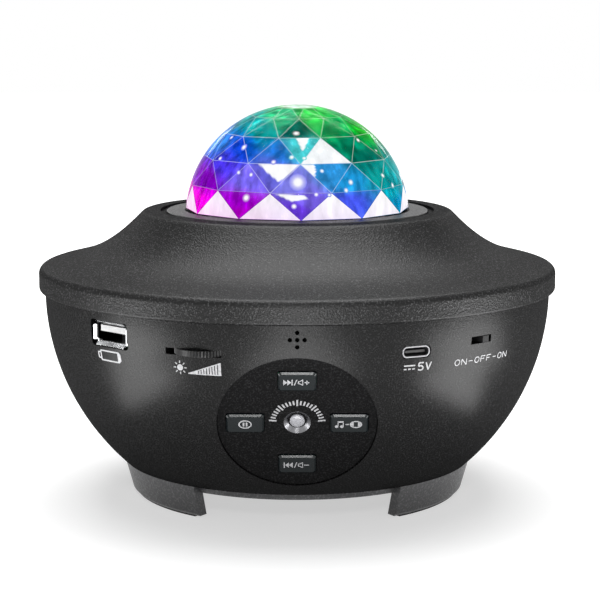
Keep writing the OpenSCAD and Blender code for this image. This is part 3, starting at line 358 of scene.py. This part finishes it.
# The lamp behind each part of the dome: where it points to (right, up), and its colour
LAMPS = [
    ((-33, 4), tint(95, 5, 85)), ((-29, 10), tint(52, 0, 75)), ((-17, 5), tint(60, 0, 78)),
    ((-17, 2), tint(78, 0, 80)), ((-15, 12), tint(46, 40, 92)), ((-23, 17), tint(30, 22, 92)),
    ((-17, 21), tint(4, 31, 92)), ((-26, 22), tint(20, 55, 90)), ((-8, 16), tint(42, 42, 90)),
    ((-6, 20), tint(14, 45, 82)), ((-10, 25), tint(0, 52, 50)), ((-14, 29), tint(6, 68, 66)),
    ((0, 2), tint(38, 0, 85)), ((3, 7), tint(48, 40, 92)), ((0, 12), tint(52, 52, 94)),
    ((1, 21), tint(30, 82, 84)), ((0, 26.5), tint(0, 34, 28)), ((9, 14), tint(20, 58, 86)),
    ((16, 5), tint(28, 34, 92)), ((17, 11), tint(14, 60, 86)), ((20, 17), tint(0, 39, 33)),
    ((17, 22), tint(3, 50, 36)), ((25, 12), tint(8, 62, 60)), ((31, 8), tint(6, 62, 66)),
    ((33, 3), tint(0, 52, 76)), ((21, 26), tint(5, 70, 10)), ((12, 27), tint(4, 64, 32)),
    ((5, 31), tint(18, 80, 30)), ((-6, 31), tint(20, 78, 52)),
]

# An azimuth this near to a facet's middle means that facet
AZ_NEAR = 9
# The facet on the front that is nearly white all over: its band and azimuth, and how white it is
WHITE_BAND, WHITE_AZ, WHITE_SHARE = 2, 18.4, 0.9
# Pale facets on the back: the bands and azimuths they are in, how many there are, and how white they are
BACK_BANDS, BACK_AZ, BACK_CHANCE, BACK_SHARE = (1, 2), 100, 0.15, 0.45
# White reflections inside single facets: (band, points up, azimuth of the facet) and the patch's corners,
# each as a mix of the facet's three corners
PATCHES = [
    ((1, False, -14), [(0.99, 0.01, 0), (0.2, 0.8, 0), (0.24, 0.48, 0.28), (0.33, 0.06, 0.61),
                       (0.66, 0.01, 0.33)]),
    ((1, False, 18), [(0.0, 1.0, 0), (0.0, 0.45, 0.55), (0.16, 0.62, 0.22), (0.3, 0.68, 0.02)]),
    ((2, False, 2), [(0.42, 0.58, 0), (0.72, 0.28, 0), (0.42, 0.2, 0.38), (0.3, 0.2, 0.5)]),
    ((0, False, 2), [(0.08, 0.9, 0.02), (0.5, 0.42, 0.08), (0.52, 0.28, 0.2), (0.2, 0.5, 0.3)]),
]
# How white a patch is, and the width of its soft edge
PATCH_SHARE, PATCH_SOFT = 0.97, 0.25

# Star spots: where they are on the front (right, up), and their size
STARS = [
    (-16.8, 21.6, 1.0), (-0.3, 26.1, 1.0), (-21, 24, 0.7), (-24.5, 17.7, 0.7), (-18.4, 14.1, 0.6),
    (-14.5, 13.7, 0.6), (-16.2, 6.7, 1.1), (-1, 4.4, 0.8), (-7.5, 17.8, 0.7), (7.8, 15.1, 0.6),
    (17, 11.4, 0.8), (15.5, 9, 0.7), (19.2, 23.3, 0.7), (25.2, 19.8, 0.5), (27.2, 12.4, 0.7),
    (31, 9, 0.8), (6, 8, 0.6), (9.9, 7.6, 0.5), (-1.7, 19.1, 0.7), (2.2, 18.7, 0.6),
    (0.2, 11.8, 2.1),
]
# A spot's radius over its size, its rings (share of the radius, whiteness), and its height over and
# depth under the facet
STAR_GROW, STAR_SIDES = 1.35, 12
STAR_RINGS = [(0.35, 0.95), (0.6, 0.4), (1.0, 0.0)]
STAR_OVER, STAR_FALL, STAR_UNDER = 0.12, 0.09, 0.1


def row_point(i, k):
    """Corner k of row i, over the collar. Odd rows are turned by half a facet."""
    first = math.asin(-DOME_MID / FACET_R)
    rise = first + (math.pi / 2 - first) * ROW_STEPS[i]
    a = rad(DOME_PHASE - 90 + (k + (i % 2) / 2) * 360 / FACETS)
    r, h = FACET_R * math.cos(rise), DOME_MID + FACET_R * math.sin(rise)
    return Vector((r * math.cos(a), r * math.sin(a), h))


def facet_corners(i, k, up):
    """The corners of a facet between rows i and i + 1, counterclockwise from outside."""
    odd = i % 2
    if up:
        return [row_point(i, k), row_point(i, k + 1), row_point(i + 1, k + odd)]
    return [row_point(i + 1, k + 1), row_point(i + 1, k), row_point(i, k + 1 - odd)]


def all_facets():
    """The band, place and direction of each facet, from the foot to the top."""
    return [(i, k, up) for i in range(BANDS) for k in range(FACETS) for up in (True, False)]


def weigh(weights, points):
    return sum((w * p for w, p in zip(weights, points)), Vector())


def cross_of(a, b, c):
    return (b - a).cross(c - a)


def lamp_color(p):
    """Blend of the lamps nearest to a point on the dome. The back shows the same lamps, mirrored."""
    total, color = 0.0, (0.0, 0.0, 0.0)
    for (x, z), lamp in LAMPS:
        w = 1 / (LAMP_SPREAD + (p.x - x) ** 2 + LAMP_UP * (p.z - z) ** 2) ** LAMP_POWER
        total += w
        color = tuple(c + w * v for c, v in zip(color, lamp))
    return tuple(c / total for c in color)


def inside(p, ring, normal):
    """1 inside a convex outline on a facet, 0 outside it, with a soft edge."""
    deep = 1e9
    for a, b in zip(ring, ring[1:] + ring[:1]):
        edge = b - a
        deep = min(deep, edge.cross(p - a).dot(normal) / edge.length)
    return min(max(deep / PATCH_SOFT + 0.5, 0.0), 1.0)


def foot_color(p):
    """The dome's pale foot: tinted by the lamp next to it, and whiter upwards and to the right."""
    pale = mix(lamp_color(p), tint(100, 72, 100), 0.6)
    return (*mix(pale, WHITE, 0.68 + 0.03 * p.z + 0.004 * p.x), FOOT_STREAK)


def shade_facet(i, up, corners):
    """A facet's colour as a function of the place, its edges' colour, and the steps of its grid."""
    center = sum(corners, Vector()) / 3
    normal = cross_of(*corners).normalized()
    az = (math.degrees(math.atan2(center.x, -center.y)) + 180) % 360 - 180
    gain, tone = GAIN + GAIN_MORE * rng.random(), lamp_color(center)
    # The streaks are stronger in the upper bands and to the sides, and weaker where it is white
    white, streak = 0.0, 0.3 + 0.05 * i + 0.2 * abs(center.x) / DOME_R
    if i == WHITE_BAND and up and abs(az - WHITE_AZ) < AZ_NEAR:
        white, streak = WHITE_SHARE, 0.35
    elif abs(az) > BACK_AZ and i in BACK_BANDS and rng.random() < BACK_CHANCE:
        white = BACK_SHARE
    patches = [[weigh(m, corners) for m in ring] for (band, points_up, patch_az), ring in PATCHES
               if band == i and points_up == up and abs(az - patch_az) < AZ_NEAR]
    patches = [ring if cross_of(*ring[:3]).dot(normal) > 0 else ring[::-1] for ring in patches]

    def color_at(p):
        if i == 0 and up:
            return foot_color(p)
        lit = max([white] + [PATCH_SHARE * inside(p, ring, normal) for ring in patches])
        here = tuple(min(c * gain, 1.0) for c in mix(tone, lamp_color(p), BY_PLACE))
        return (*mix(here, WHITE, lit), streak * (1 - 0.75 * lit))

    # Dark lines round the foot; higher up, pale lines: the facet's glow whitened as a painted highlight
    # along its edges
    edge = mix(tone, WHITE, 0.3 + 0.2 * rng.random()) if i else shade(tone, 0.65)
    return color_at, (*edge, 0.0), PATCH_GRID if patches else GRID


def add_facet(shell, corners, color_at, edge_color, steps):
    """Adds a triangle to a shell: a narrow line along its edges, and a fine grid inside it."""
    verts, faces, colors = shell
    sides = [(corners[(n + 2) % 3] - corners[(n + 1) % 3]).length for n in range(3)]
    middle = weigh(sides, corners) / sum(sides)
    shrink = 1 - EDGE_LINE * sum(sides) / cross_of(*corners).length
    inner = [middle + (c - middle) * shrink for c in corners]
    start = len(verts)
    verts.extend(corners + inner)
    colors.extend([edge_color] * 6)
    for n in range(3):
        m = (n + 1) % 3
        faces.append((start + n, start + m, start + 3 + m, start + 3 + n))
    index = {}
    for r in range(steps + 1):
        for c in range(steps + 1 - r):
            p = weigh((1 - (r + c) / steps, c / steps, r / steps), inner)
            index[r, c] = len(verts)
            verts.append(p)
            colors.append(color_at(p))
    for r in range(steps):
        for c in range(steps - r):
            faces.append((index[r, c], index[r, c + 1], index[r + 1, c]))
            if c < steps - r - 1:
                faces.append((index[r, c + 1], index[r + 1, c + 1], index[r + 1, c]))


def add_top(shell):
    """Adds the flat top: green between a pale middle and a pale rim, whose whiteness is a painted highlight
    along the top's edge.
    """
    verts, faces, colors = shell
    top = len(verts)
    verts.append(Vector((0, 0, row_point(BANDS, 0).z)))
    colors.append((*tint(82, 100, 88), TOP_STREAK))
    # Rings of points: the share of the way out, and how white they are
    # The outermost ring's whiteness is a painted highlight along the top's edge
    rings = [(0.6, 0.7), (0.95, 0.15), (1.0, 0.6)]
    for scale, white in rings:
        for k in range(FACETS):
            p = row_point(BANDS, k)
            verts.append(Vector((p.x * scale, p.y * scale, p.z)))
            colors.append((*mix(tint(12, 75, 30), WHITE, white), TOP_STREAK))
    for k in range(FACETS):
        m = (k + 1) % FACETS
        faces.append((top, top + 1 + k, top + 1 + m))
        for r in range(len(rings) - 1):
            a, b = top + 1 + r * FACETS, top + 1 + (r + 1) * FACETS
            faces.append((a + k, b + k, b + m, a + m))


def dome_glow():
    """The lit facets: a closed faceted shell inside the wall of the clear dome."""
    shell = verts, faces, colors = [], [], []
    for i, k, up in all_facets():
        corners = facet_corners(i, k, up)
        add_facet(shell, corners, *shade_facet(i, up, corners))
    add_top(shell)
    # Underside
    start = len(verts)
    verts.extend(row_point(0, k) for k in range(FACETS))
    colors.extend([(*PALE, 0.0)] * FACETS)
    faces.append(tuple(start + k for k in reversed(range(FACETS))))
    lit_piece("dome_glow", shell)


def facet_under(x, h):
    """The spot on the front's facets at x to the right and h over the collar, and the facet's normal."""
    middle = Vector((0, 0, DOME_MID))
    rise = h - DOME_MID
    out = (Vector((x, -math.sqrt(FACET_R ** 2 - x * x - rise * rise), h)) - middle).normalized()
    for i, k, up in all_facets():
        a, b, c = (corner - middle for corner in facet_corners(i, k, up))
        shares = [b.cross(c).dot(out), c.cross(a).dot(out), a.cross(b).dot(out)]
        if min(shares) >= 0:
            return middle + weigh(shares, (a, b, c)) / sum(shares), cross_of(a, b, c).normalized()
    raise ValueError("no facet under %s, %s" % (x, h))


def star_spots():
    """Soft spots on the lit facets: white in the middle, the facet's own colour at the rim."""
    shell = verts, faces, colors = [], [], []
    sides = STAR_SIDES
    for x, h, size in STARS:
        radius = size * STAR_GROW
        # One on the front, and the same one mirrored on the back
        for back in (1, -1):
            spot, out = facet_under(x, h)
            spot.y *= back
            out.y *= back
            right = Vector((0, 0, 1)).cross(out).normalized()
            rise = out.cross(right)
            rim_color = lamp_color(spot)
            start = len(verts)
            verts.append(spot + out * STAR_OVER)
            colors.append((1, 1, 1, 0))
            for share, white in STAR_RINGS:
                for n in range(sides):
                    a = 2 * math.pi * n / sides
                    d = right * math.cos(a) + rise * math.sin(a)
                    verts.append(spot + d * radius * share + out * (STAR_OVER - STAR_FALL * share))
                    colors.append((*mix(rim_color, WHITE, white), 0.0))
            verts.append(spot - out * STAR_UNDER)
            colors.append((*rim_color, 0.0))
            first, last = start + 1, start + 1 + 2 * sides
            for n in range(sides):
                m = (n + 1) % sides
                faces.append((start, first + n, first + m))
                for ring in (first, first + sides):
                    faces.append((ring + n, ring + sides + n, ring + sides + m, ring + m))
                faces.append((last + m, last + n, last + sides))
    lit_piece("star_spots", shell)


def lit_piece(name, shell):
    """A glowing piece of the dome, from points over the collar, faces, and a colour for each point."""
    verts, faces, colors = shell
    obj = add_mesh(name, [(v + Vector((0, 0, COLLAR_Z))) * MM for v in verts], faces, glow)
    layer = obj.data.color_attributes.new("glow", "FLOAT_COLOR", "POINT")
    for n, color in enumerate(colors):
        layer.data[n].color = color
    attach(obj, "casing")


dome_glow()
star_spots()


# ---------- prints ----------

# How far a print stands over its surface and reaches into it
INK_UP, INK_DOWN = 0.05, 0.06
# The longest straight bar that still follows the bowl
BAR_MAX = 1.6
DISC_SIDES, HOOP_SIDES, BEZEL_SIDES = 20, 24, 48


def on_bowl(az, z):
    """Maps (right, up, out) from a point on the bowl to the scene."""
    r0 = BOWL_CX + math.sqrt(BOWL_ARC ** 2 - (SEAM_Z - z) ** 2)
    lean0 = math.asin((SEAM_Z - z) / BOWL_ARC)

    def place(u, v, w):
        a, lean = rad(az) + u / r0, lean0 - v / BOWL_ARC
        r = BOWL_CX + (BOWL_ARC + w) * math.cos(lean)
        return Vector((r * math.sin(a), -r * math.cos(a), SEAM_Z - (BOWL_ARC + w) * math.sin(lean))) * MM
    return place


def on_panel(x, y, face):
    """Maps (right, up, out) from a point on the key panel to the scene."""
    c, s = math.cos(PANEL_TILT), math.sin(PANEL_TILT)

    def place(u, v, w):
        p, q, n = x + u, y + v, face + w
        return Vector((p, -PANEL_OUT - q * s - n * c, PANEL_Z + q * c - n * s)) * MM
    return place


def bar(x0, y0, x1, y1, w):
    d = Vector((x1 - x0, y1 - y0))
    n = Vector((-d.y, d.x)).normalized() * w / 2
    return [(x0 - n.x, y0 - n.y), (x1 - n.x, y1 - n.y), (x1 + n.x, y1 + n.y), (x0 + n.x, y0 + n.y)]


def spoke(a, r0, r1, w):
    """A bar that points away from the middle, from radius r0 to r1."""
    return bar(r0 * math.cos(a), r0 * math.sin(a), r1 * math.cos(a), r1 * math.sin(a), w)


def disc(cx, cy, r):
    angles = [2 * math.pi * n / DISC_SIDES for n in range(DISC_SIDES)]
    return [(cx + r * math.cos(a), cy + r * math.sin(a)) for a in angles]


def hoop(cx, cy, rx, ry, w):
    """An oval ring of width w round an oval, as short quads."""
    def at(n, grow):
        a = rad(360 * n / HOOP_SIDES)
        return cx + (rx + grow) * math.cos(a), cy + (ry + grow) * math.sin(a)
    return [[at(n, 0), at(n, w), at(n + 1, w), at(n + 1, 0)] for n in range(HOOP_SIDES)]


def path(points, w, closed=False):
    """Bars along a line, cut short enough to follow a curved surface."""
    ends = points[1:] + points[:1] if closed else points[1:]
    out = []
    for p, q in zip(points, ends):
        cuts = max(1, math.ceil(math.dist(p, q) / BAR_MAX))
        stops = [mix(p, q, n / cuts) for n in range(cuts + 1)]
        out += [bar(*a, *b, w) for a, b in zip(stops, stops[1:])]
    return out


def moved(shapes, dx, dy):
    return [[(x + dx, y + dy) for x, y in shape] for shape in shapes]


def print_on(name, body, place, shapes):
    """Thin closed plates of ink, one for each outline, laid on a surface."""
    verts, faces = [], []
    for shape in shapes:
        n, start = len(shape), len(verts)
        area = sum(p[0] * q[1] - q[0] * p[1] for p, q in zip(shape, shape[1:] + shape[:1]))
        if area < 0:
            shape = shape[::-1]
        verts.extend(place(x, y, INK_UP) for x, y in shape)
        verts.extend(place(x, y, -INK_DOWN) for x, y in shape)
        faces.append(tuple(start + m for m in range(n)))
        faces.append(tuple(start + n + m for m in reversed(range(n))))
        for m in range(n):
            k = (m + 1) % n
            faces.append((start + m, start + n + m, start + n + k, start + k))
    obj = add_mesh(name, verts, faces, white_ink)
    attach(obj, body)


# Stroke letters in a cell 1 wide and GLYPH_H high
GLYPH_H = 1.5
GLYPHS = {
    "O": [[(0.5, 0), (0.15, 0.2), (0, 0.75), (0.15, 1.3), (0.5, 1.5), (0.85, 1.3), (1, 0.75), (0.85, 0.2),
           (0.5, 0)]],
    "N": [[(0, 0), (0, 1.5), (1, 0), (1, 1.5)]],
    "F": [[(0, 0), (0, 1.5), (0.95, 1.5)], [(0, 0.8), (0.75, 0.8)]],
    "5": [[(0.95, 1.5), (0.1, 1.5), (0.02, 0.85), (0.6, 0.92), (0.97, 0.5), (0.8, 0.1), (0.4, 0),
           (0, 0.15)]],
    "V": [[(0, 1.5), (0.5, 0), (1, 1.5)]],
    "-": [[(0.1, 0.75), (0.9, 0.75)]],
}


def word(text, width, height, gap, w):
    """A word in stroke letters, centred."""
    out, x = [], 0.0
    for letter in text:
        for line in GLYPHS[letter]:
            out += path([(x + px * width, py / GLYPH_H * height) for px, py in line], w)
        x += width + gap
    return moved(out, -(x - gap) / 2, -height / 2)


def battery_legend():
    """A battery on its side, with its terminal on the left and a filled end on the right."""
    shapes = path([(-3.7, -1.5), (4.1, -1.5), (4.9, -0.9), (4.9, 0.9), (4.1, 1.5), (-3.7, 1.5)], 0.42,
                  closed=True)
    shapes += path([(-3.7, 0.9), (-4.9, 0.9), (-4.9, -0.9), (-3.7, -0.9)], 0.4)
    shapes.append([(3.7, -1.5), (4.1, -1.5), (4.9, -0.9), (4.9, 0.9), (4.1, 1.5), (3.7, 1.5)])
    return shapes


def sun_legend():
    return [disc(0, 0, 0.95)] + [spoke(rad(n * 45), 1.35, 2.1, 0.3) for n in range(8)]


def wedge_legend():
    """A wedge cut into bars, solid at its thin end."""
    bars, solid, length, height = 12, 3, 10.2, 3.8
    shapes = [[(0, 0), (length * solid / bars, 0), (length * solid / bars, height * solid / bars)]]
    for n in range(solid, bars):
        x0, x1 = length * n / bars, length * (n + 0.66) / bars
        shapes.append([(x0, 0), (x1, 0), (x1, height * x1 / length), (x0, height * x0 / length)])
    shapes += path([(0, 0.08), (length, 0.08)], 0.3) + path([(0, 0.1), (length, height)], 0.28)
    return shapes + path([(length - 0.15, 0), (length - 0.15, height)], 0.4)


def supply_legend():
    """The sign for direct current, a bar over three short ones, and 5V."""
    return (moved(word("5V", 1.75, 2.3, 0.75, 0.42), 2.2, 0) + path([(-4.6, 0.5), (-1.0, 0.5)], 0.42)
            + [bar(x, -0.55, x + 0.85, -0.55, 0.42) for x in (-4.6, -3.22, -1.85)])


def skip_legend(sign):
    """Skip arrows, a slash, a small speaker and a plus or minus; sign -1 mirrors the arrows."""
    h, width = 1.0, 2.7
    arrows = [[(0, -h), (1.15, 0), (0, h)], [(1.15, -h), (2.3, 0), (1.15, h)],
              [(2.35, -h), (width, -h), (width, h), (2.35, h)]]
    if sign < 0:
        arrows = [[(width - x, y) for x, y in shape] for shape in arrows]
    shapes = moved(arrows, -4.0, 0)
    shapes.append(bar(-0.85, -h, -0.1, h, 0.3))
    shapes += path([(0.35, -0.45), (0.35, 0.45), (0.85, 0.45), (1.6, h), (1.6, -h), (0.85, -0.45)], 0.26,
                   closed=True)
    shapes.append(bar(2.1, 0, 3.5, 0, 0.32))
    if sign > 0:
        shapes.append(bar(2.8, -0.7, 2.8, 0.7, 0.32))
    return shapes


def pause_legend():
    return hoop(0, 0, 1.6, 1.15, 0.36) + [bar(x, -0.7, x, 0.7, 0.45) for x in (-0.45, 0.45)]


def mode_legend():
    """Two beamed notes, a dash, and a lamp: a disc with a dark slot."""
    shapes = [disc(-3.7, -0.75, 0.5), disc(-2.2, -0.75, 0.5)]
    shapes += path([(-3.3, -0.75), (-3.3, 1.0)], 0.26) + path([(-1.8, -0.75), (-1.8, 1.0)], 0.26)
    shapes += [bar(-3.43, 0.95, -1.67, 0.95, 0.5), bar(-1.1, 0, -0.2, 0, 0.36)]
    lamp_x = 1.9
    shapes += hoop(lamp_x, 0, 1.45, 0.95, 0.35)
    for side in (-1, 1):
        shapes.append([(lamp_x + side * x, y)
                       for x, y in ((0.62, -0.95), (1.2, -0.7), (1.5, 0), (1.2, 0.7), (0.62, 0.95))])
    return shapes


def arc_ticks():
    """Plain marks on an arc over the receiver's window, each fifth one longer."""
    count, first, step, radius, shapes = 21, 6, 8.4, 7.2, []
    for n in range(count):
        half = 1.1 if n % 5 == 0 else 0.75
        shapes.append(spoke(rad(first + n * step), radius - half, radius + half, 0.5))
    return shapes


print_on("usb_legend", "casing", on_bowl(-43.9, 53.3), battery_legend())
print_on("sun_legend", "casing", on_bowl(-24.9, 52.8), sun_legend())
print_on("ramp_legend", "casing", on_bowl(-23.1, 51.1), wedge_legend())
print_on("supply_legend", "casing", on_bowl(25.8, 52.9), supply_legend())
print_on("switch_legend", "casing", on_bowl(43.3, 52.7), word("ON-OFF-ON", 1.9, 1.8, 0.75, 0.25))
print_on("next_legend", "next_key", on_panel(0, KEY_PITCH, KEY_TOP), skip_legend(1))
print_on("previous_legend", "previous_key", on_panel(0, -KEY_PITCH, KEY_TOP), skip_legend(-1))
print_on("pause_legend", "pause_key", on_panel(-KEY_PITCH, 0, KEY_TOP), pause_legend())
print_on("mode_legend", "mode_key", on_panel(KEY_PITCH, 0, KEY_TOP), mode_legend())
print_on("window_legend", "casing", on_panel(0, 0, PANEL_FACE), arc_ticks())


def window_bezel():
    """A thin glossy cone that lines the funnel round the receiver's window."""
    place, sides = on_panel(0, 0, PANEL_FACE), BEZEL_SIDES
    # The cone's section: radius, and height over the panel's face
    profile = [(2.72, -1.12), (3.95, -0.01), (3.99, -0.05), (2.76, -1.16)]
    verts, faces = [], []
    for n in range(sides):
        a = 2 * math.pi * n / sides
        verts.extend(place(r * math.cos(a), r * math.sin(a), w) for r, w in profile)
    for n in range(sides):
        for m in range(4):
            p, q = 4 * n + m, 4 * n + (m + 1) % 4
            faces.append((p, (p + 4) % len(verts), (q + 4) % len(verts), q))
    obj = add_mesh("window_bezel", verts, faces, bezel_metal)
    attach(obj, "casing")


window_bezel()


# ---------- stage ----------

# How strongly the white surroundings light the object; rays that see them get full white
WORLD_LIGHT = 0.25
FLOOR_HALF = 3.0
# Height of the light panels over the floor
PANEL_LIFT = 0.002
# The camera: its place, how far it looks down in degrees, its sensor's width in millimetres, and its focal
# length and shift in pixels of the photograph, which is PHOTO_SIZE wide
CAMERA_AT, LOOK_DOWN, SENSOR = (0, -0.6, 0.154), 8.79, 36
PHOTO_SIZE, FOCAL, SHIFT = 600, 1856, 2.8


def white_to_camera(tree, low):
    """A mix that is low for lighting, and its input 3 for camera, glossy and transmission rays."""
    rays = tree.nodes.new("ShaderNodeLightPath")
    total = rays.outputs["Is Camera Ray"]
    for name in ("Is Glossy Ray", "Is Transmission Ray"):
        add = tree.nodes.new("ShaderNodeMath")
        add.operation = "ADD"
        add.use_clamp = True
        tree.links.new(total, add.inputs[0])
        tree.links.new(rays.outputs[name], add.inputs[1])
        total = add.outputs[0]
    level = tree.nodes.new("ShaderNodeMix")
    level.inputs[2].default_value = low
    level.inputs[3].default_value = 1.0
    tree.links.new(total, level.inputs[0])
    return level


def floor():
    """Pale floor: white away from the object, and its own colour with the shadow close to it."""
    mat, tree, shader = material("floor_white")
    put(shader, (0.5, 0.5, 0.5), 0.9, specular=0.1)
    coord = tree.nodes.new("ShaderNodeTexCoord")
    length = tree.nodes.new("ShaderNodeVectorMath")
    length.operation = "LENGTH"
    tree.links.new(coord.outputs["Object"], length.inputs[0])
    away = add_node(tree, "ShaderNodeMapRange", {
        "From Min": 0.06, "From Max": 0.3, "To Min": 0.55, "To Max": 1.0})
    tree.links.new(length.outputs["Value"], away.inputs["Value"])
    level = white_to_camera(tree, 0.0)
    tree.links.new(away.outputs["Result"], level.inputs[3])
    shader.inputs["Emission Color"].default_value = (1, 1, 1, 1)
    tree.links.new(level.outputs[0], shader.inputs["Emission Strength"])
    s = FLOOR_HALF
    obj = add_mesh("floor", [(-s, -s, 0), (s, -s, 0), (s, s, 0), (-s, s, 0)], [(0, 1, 2, 3)], mat)


def studio_world():
    world = bpy.data.worlds.new("studio")
    bpy.context.scene.world = world
    world.use_nodes = True
    background = world.node_tree.nodes["Background"]
    background.inputs["Color"].default_value = (1, 1, 1, 1)
    level = white_to_camera(world.node_tree, WORLD_LIGHT)
    world.node_tree.links.new(level.outputs[0], background.inputs["Strength"])


def area(name, pos, target, size_x, size_y, power):
    light = bpy.data.lights.new(name, "AREA")
    light.shape = "RECTANGLE"
    light.size, light.size_y = size_x, size_y
    light.energy = power
    obj = bpy.data.objects.new(name, light)
    obj.location = pos
    obj.rotation_euler = (Vector(target) - Vector(pos)).to_track_quat("-Z", "Y").to_euler()
    bpy.context.collection.objects.link(obj)


def camera():
    """The photograph's view."""
    cam = bpy.data.cameras.new("camera")
    cam.sensor_width = SENSOR
    cam.lens = SENSOR * FOCAL / PHOTO_SIZE
    cam.shift_x = SHIFT / PHOTO_SIZE
    cam.clip_start = 0.01
    obj = bpy.data.objects.new("camera", cam)
    obj.location = CAMERA_AT
    obj.rotation_euler = (rad(90 - LOOK_DOWN), 0, 0)
    bpy.context.collection.objects.link(obj)
    bpy.context.scene.camera = obj


floor()
studio_world()
area("rim_left", (-0.35, 0.8, 0.33), (0, 0, 0.07), 0.2, 0.1, 0.4)
area("rim_right", (0.35, 0.8, 0.33), (0, 0, 0.07), 0.2, 0.1, 0.4)
area("front", (0, -0.85, 0.04), (0, 0, 0.05), 0.35, 0.07, 0.8)
area("top", (0, 0.2, 0.75), (0, 0, 0.08), 0.7, 0.8, 10.5)
area("key", (0.02, -0.75, 0.42), (0, 0, 0.06), 0.12, 0.12, 0.9)
# Light panels that lie on the floor beside and before the object, out of the picture. The bowl reflects
# them as soft bands
for name, x, y, size_x, size_y, power in [
        ("near_left", -0.126, -0.075, 0.068, 0.07, 0.11),
        ("near_right", 0.126, -0.07, 0.068, 0.07, 0.135),
        ("far_left", -0.305, -0.11, 0.29, 0.12, 0.95),
        ("far_right", 0.305, -0.085, 0.29, 0.15, 1.25),
        ("near_front", 0, -0.27, 0.1, 0.26, 0.45)]:
    area(name, (x, y, PANEL_LIFT), (x, y, 1), size_x, size_y, power)
camera()
bpy.context.scene.view_settings.view_transform = "Standard"
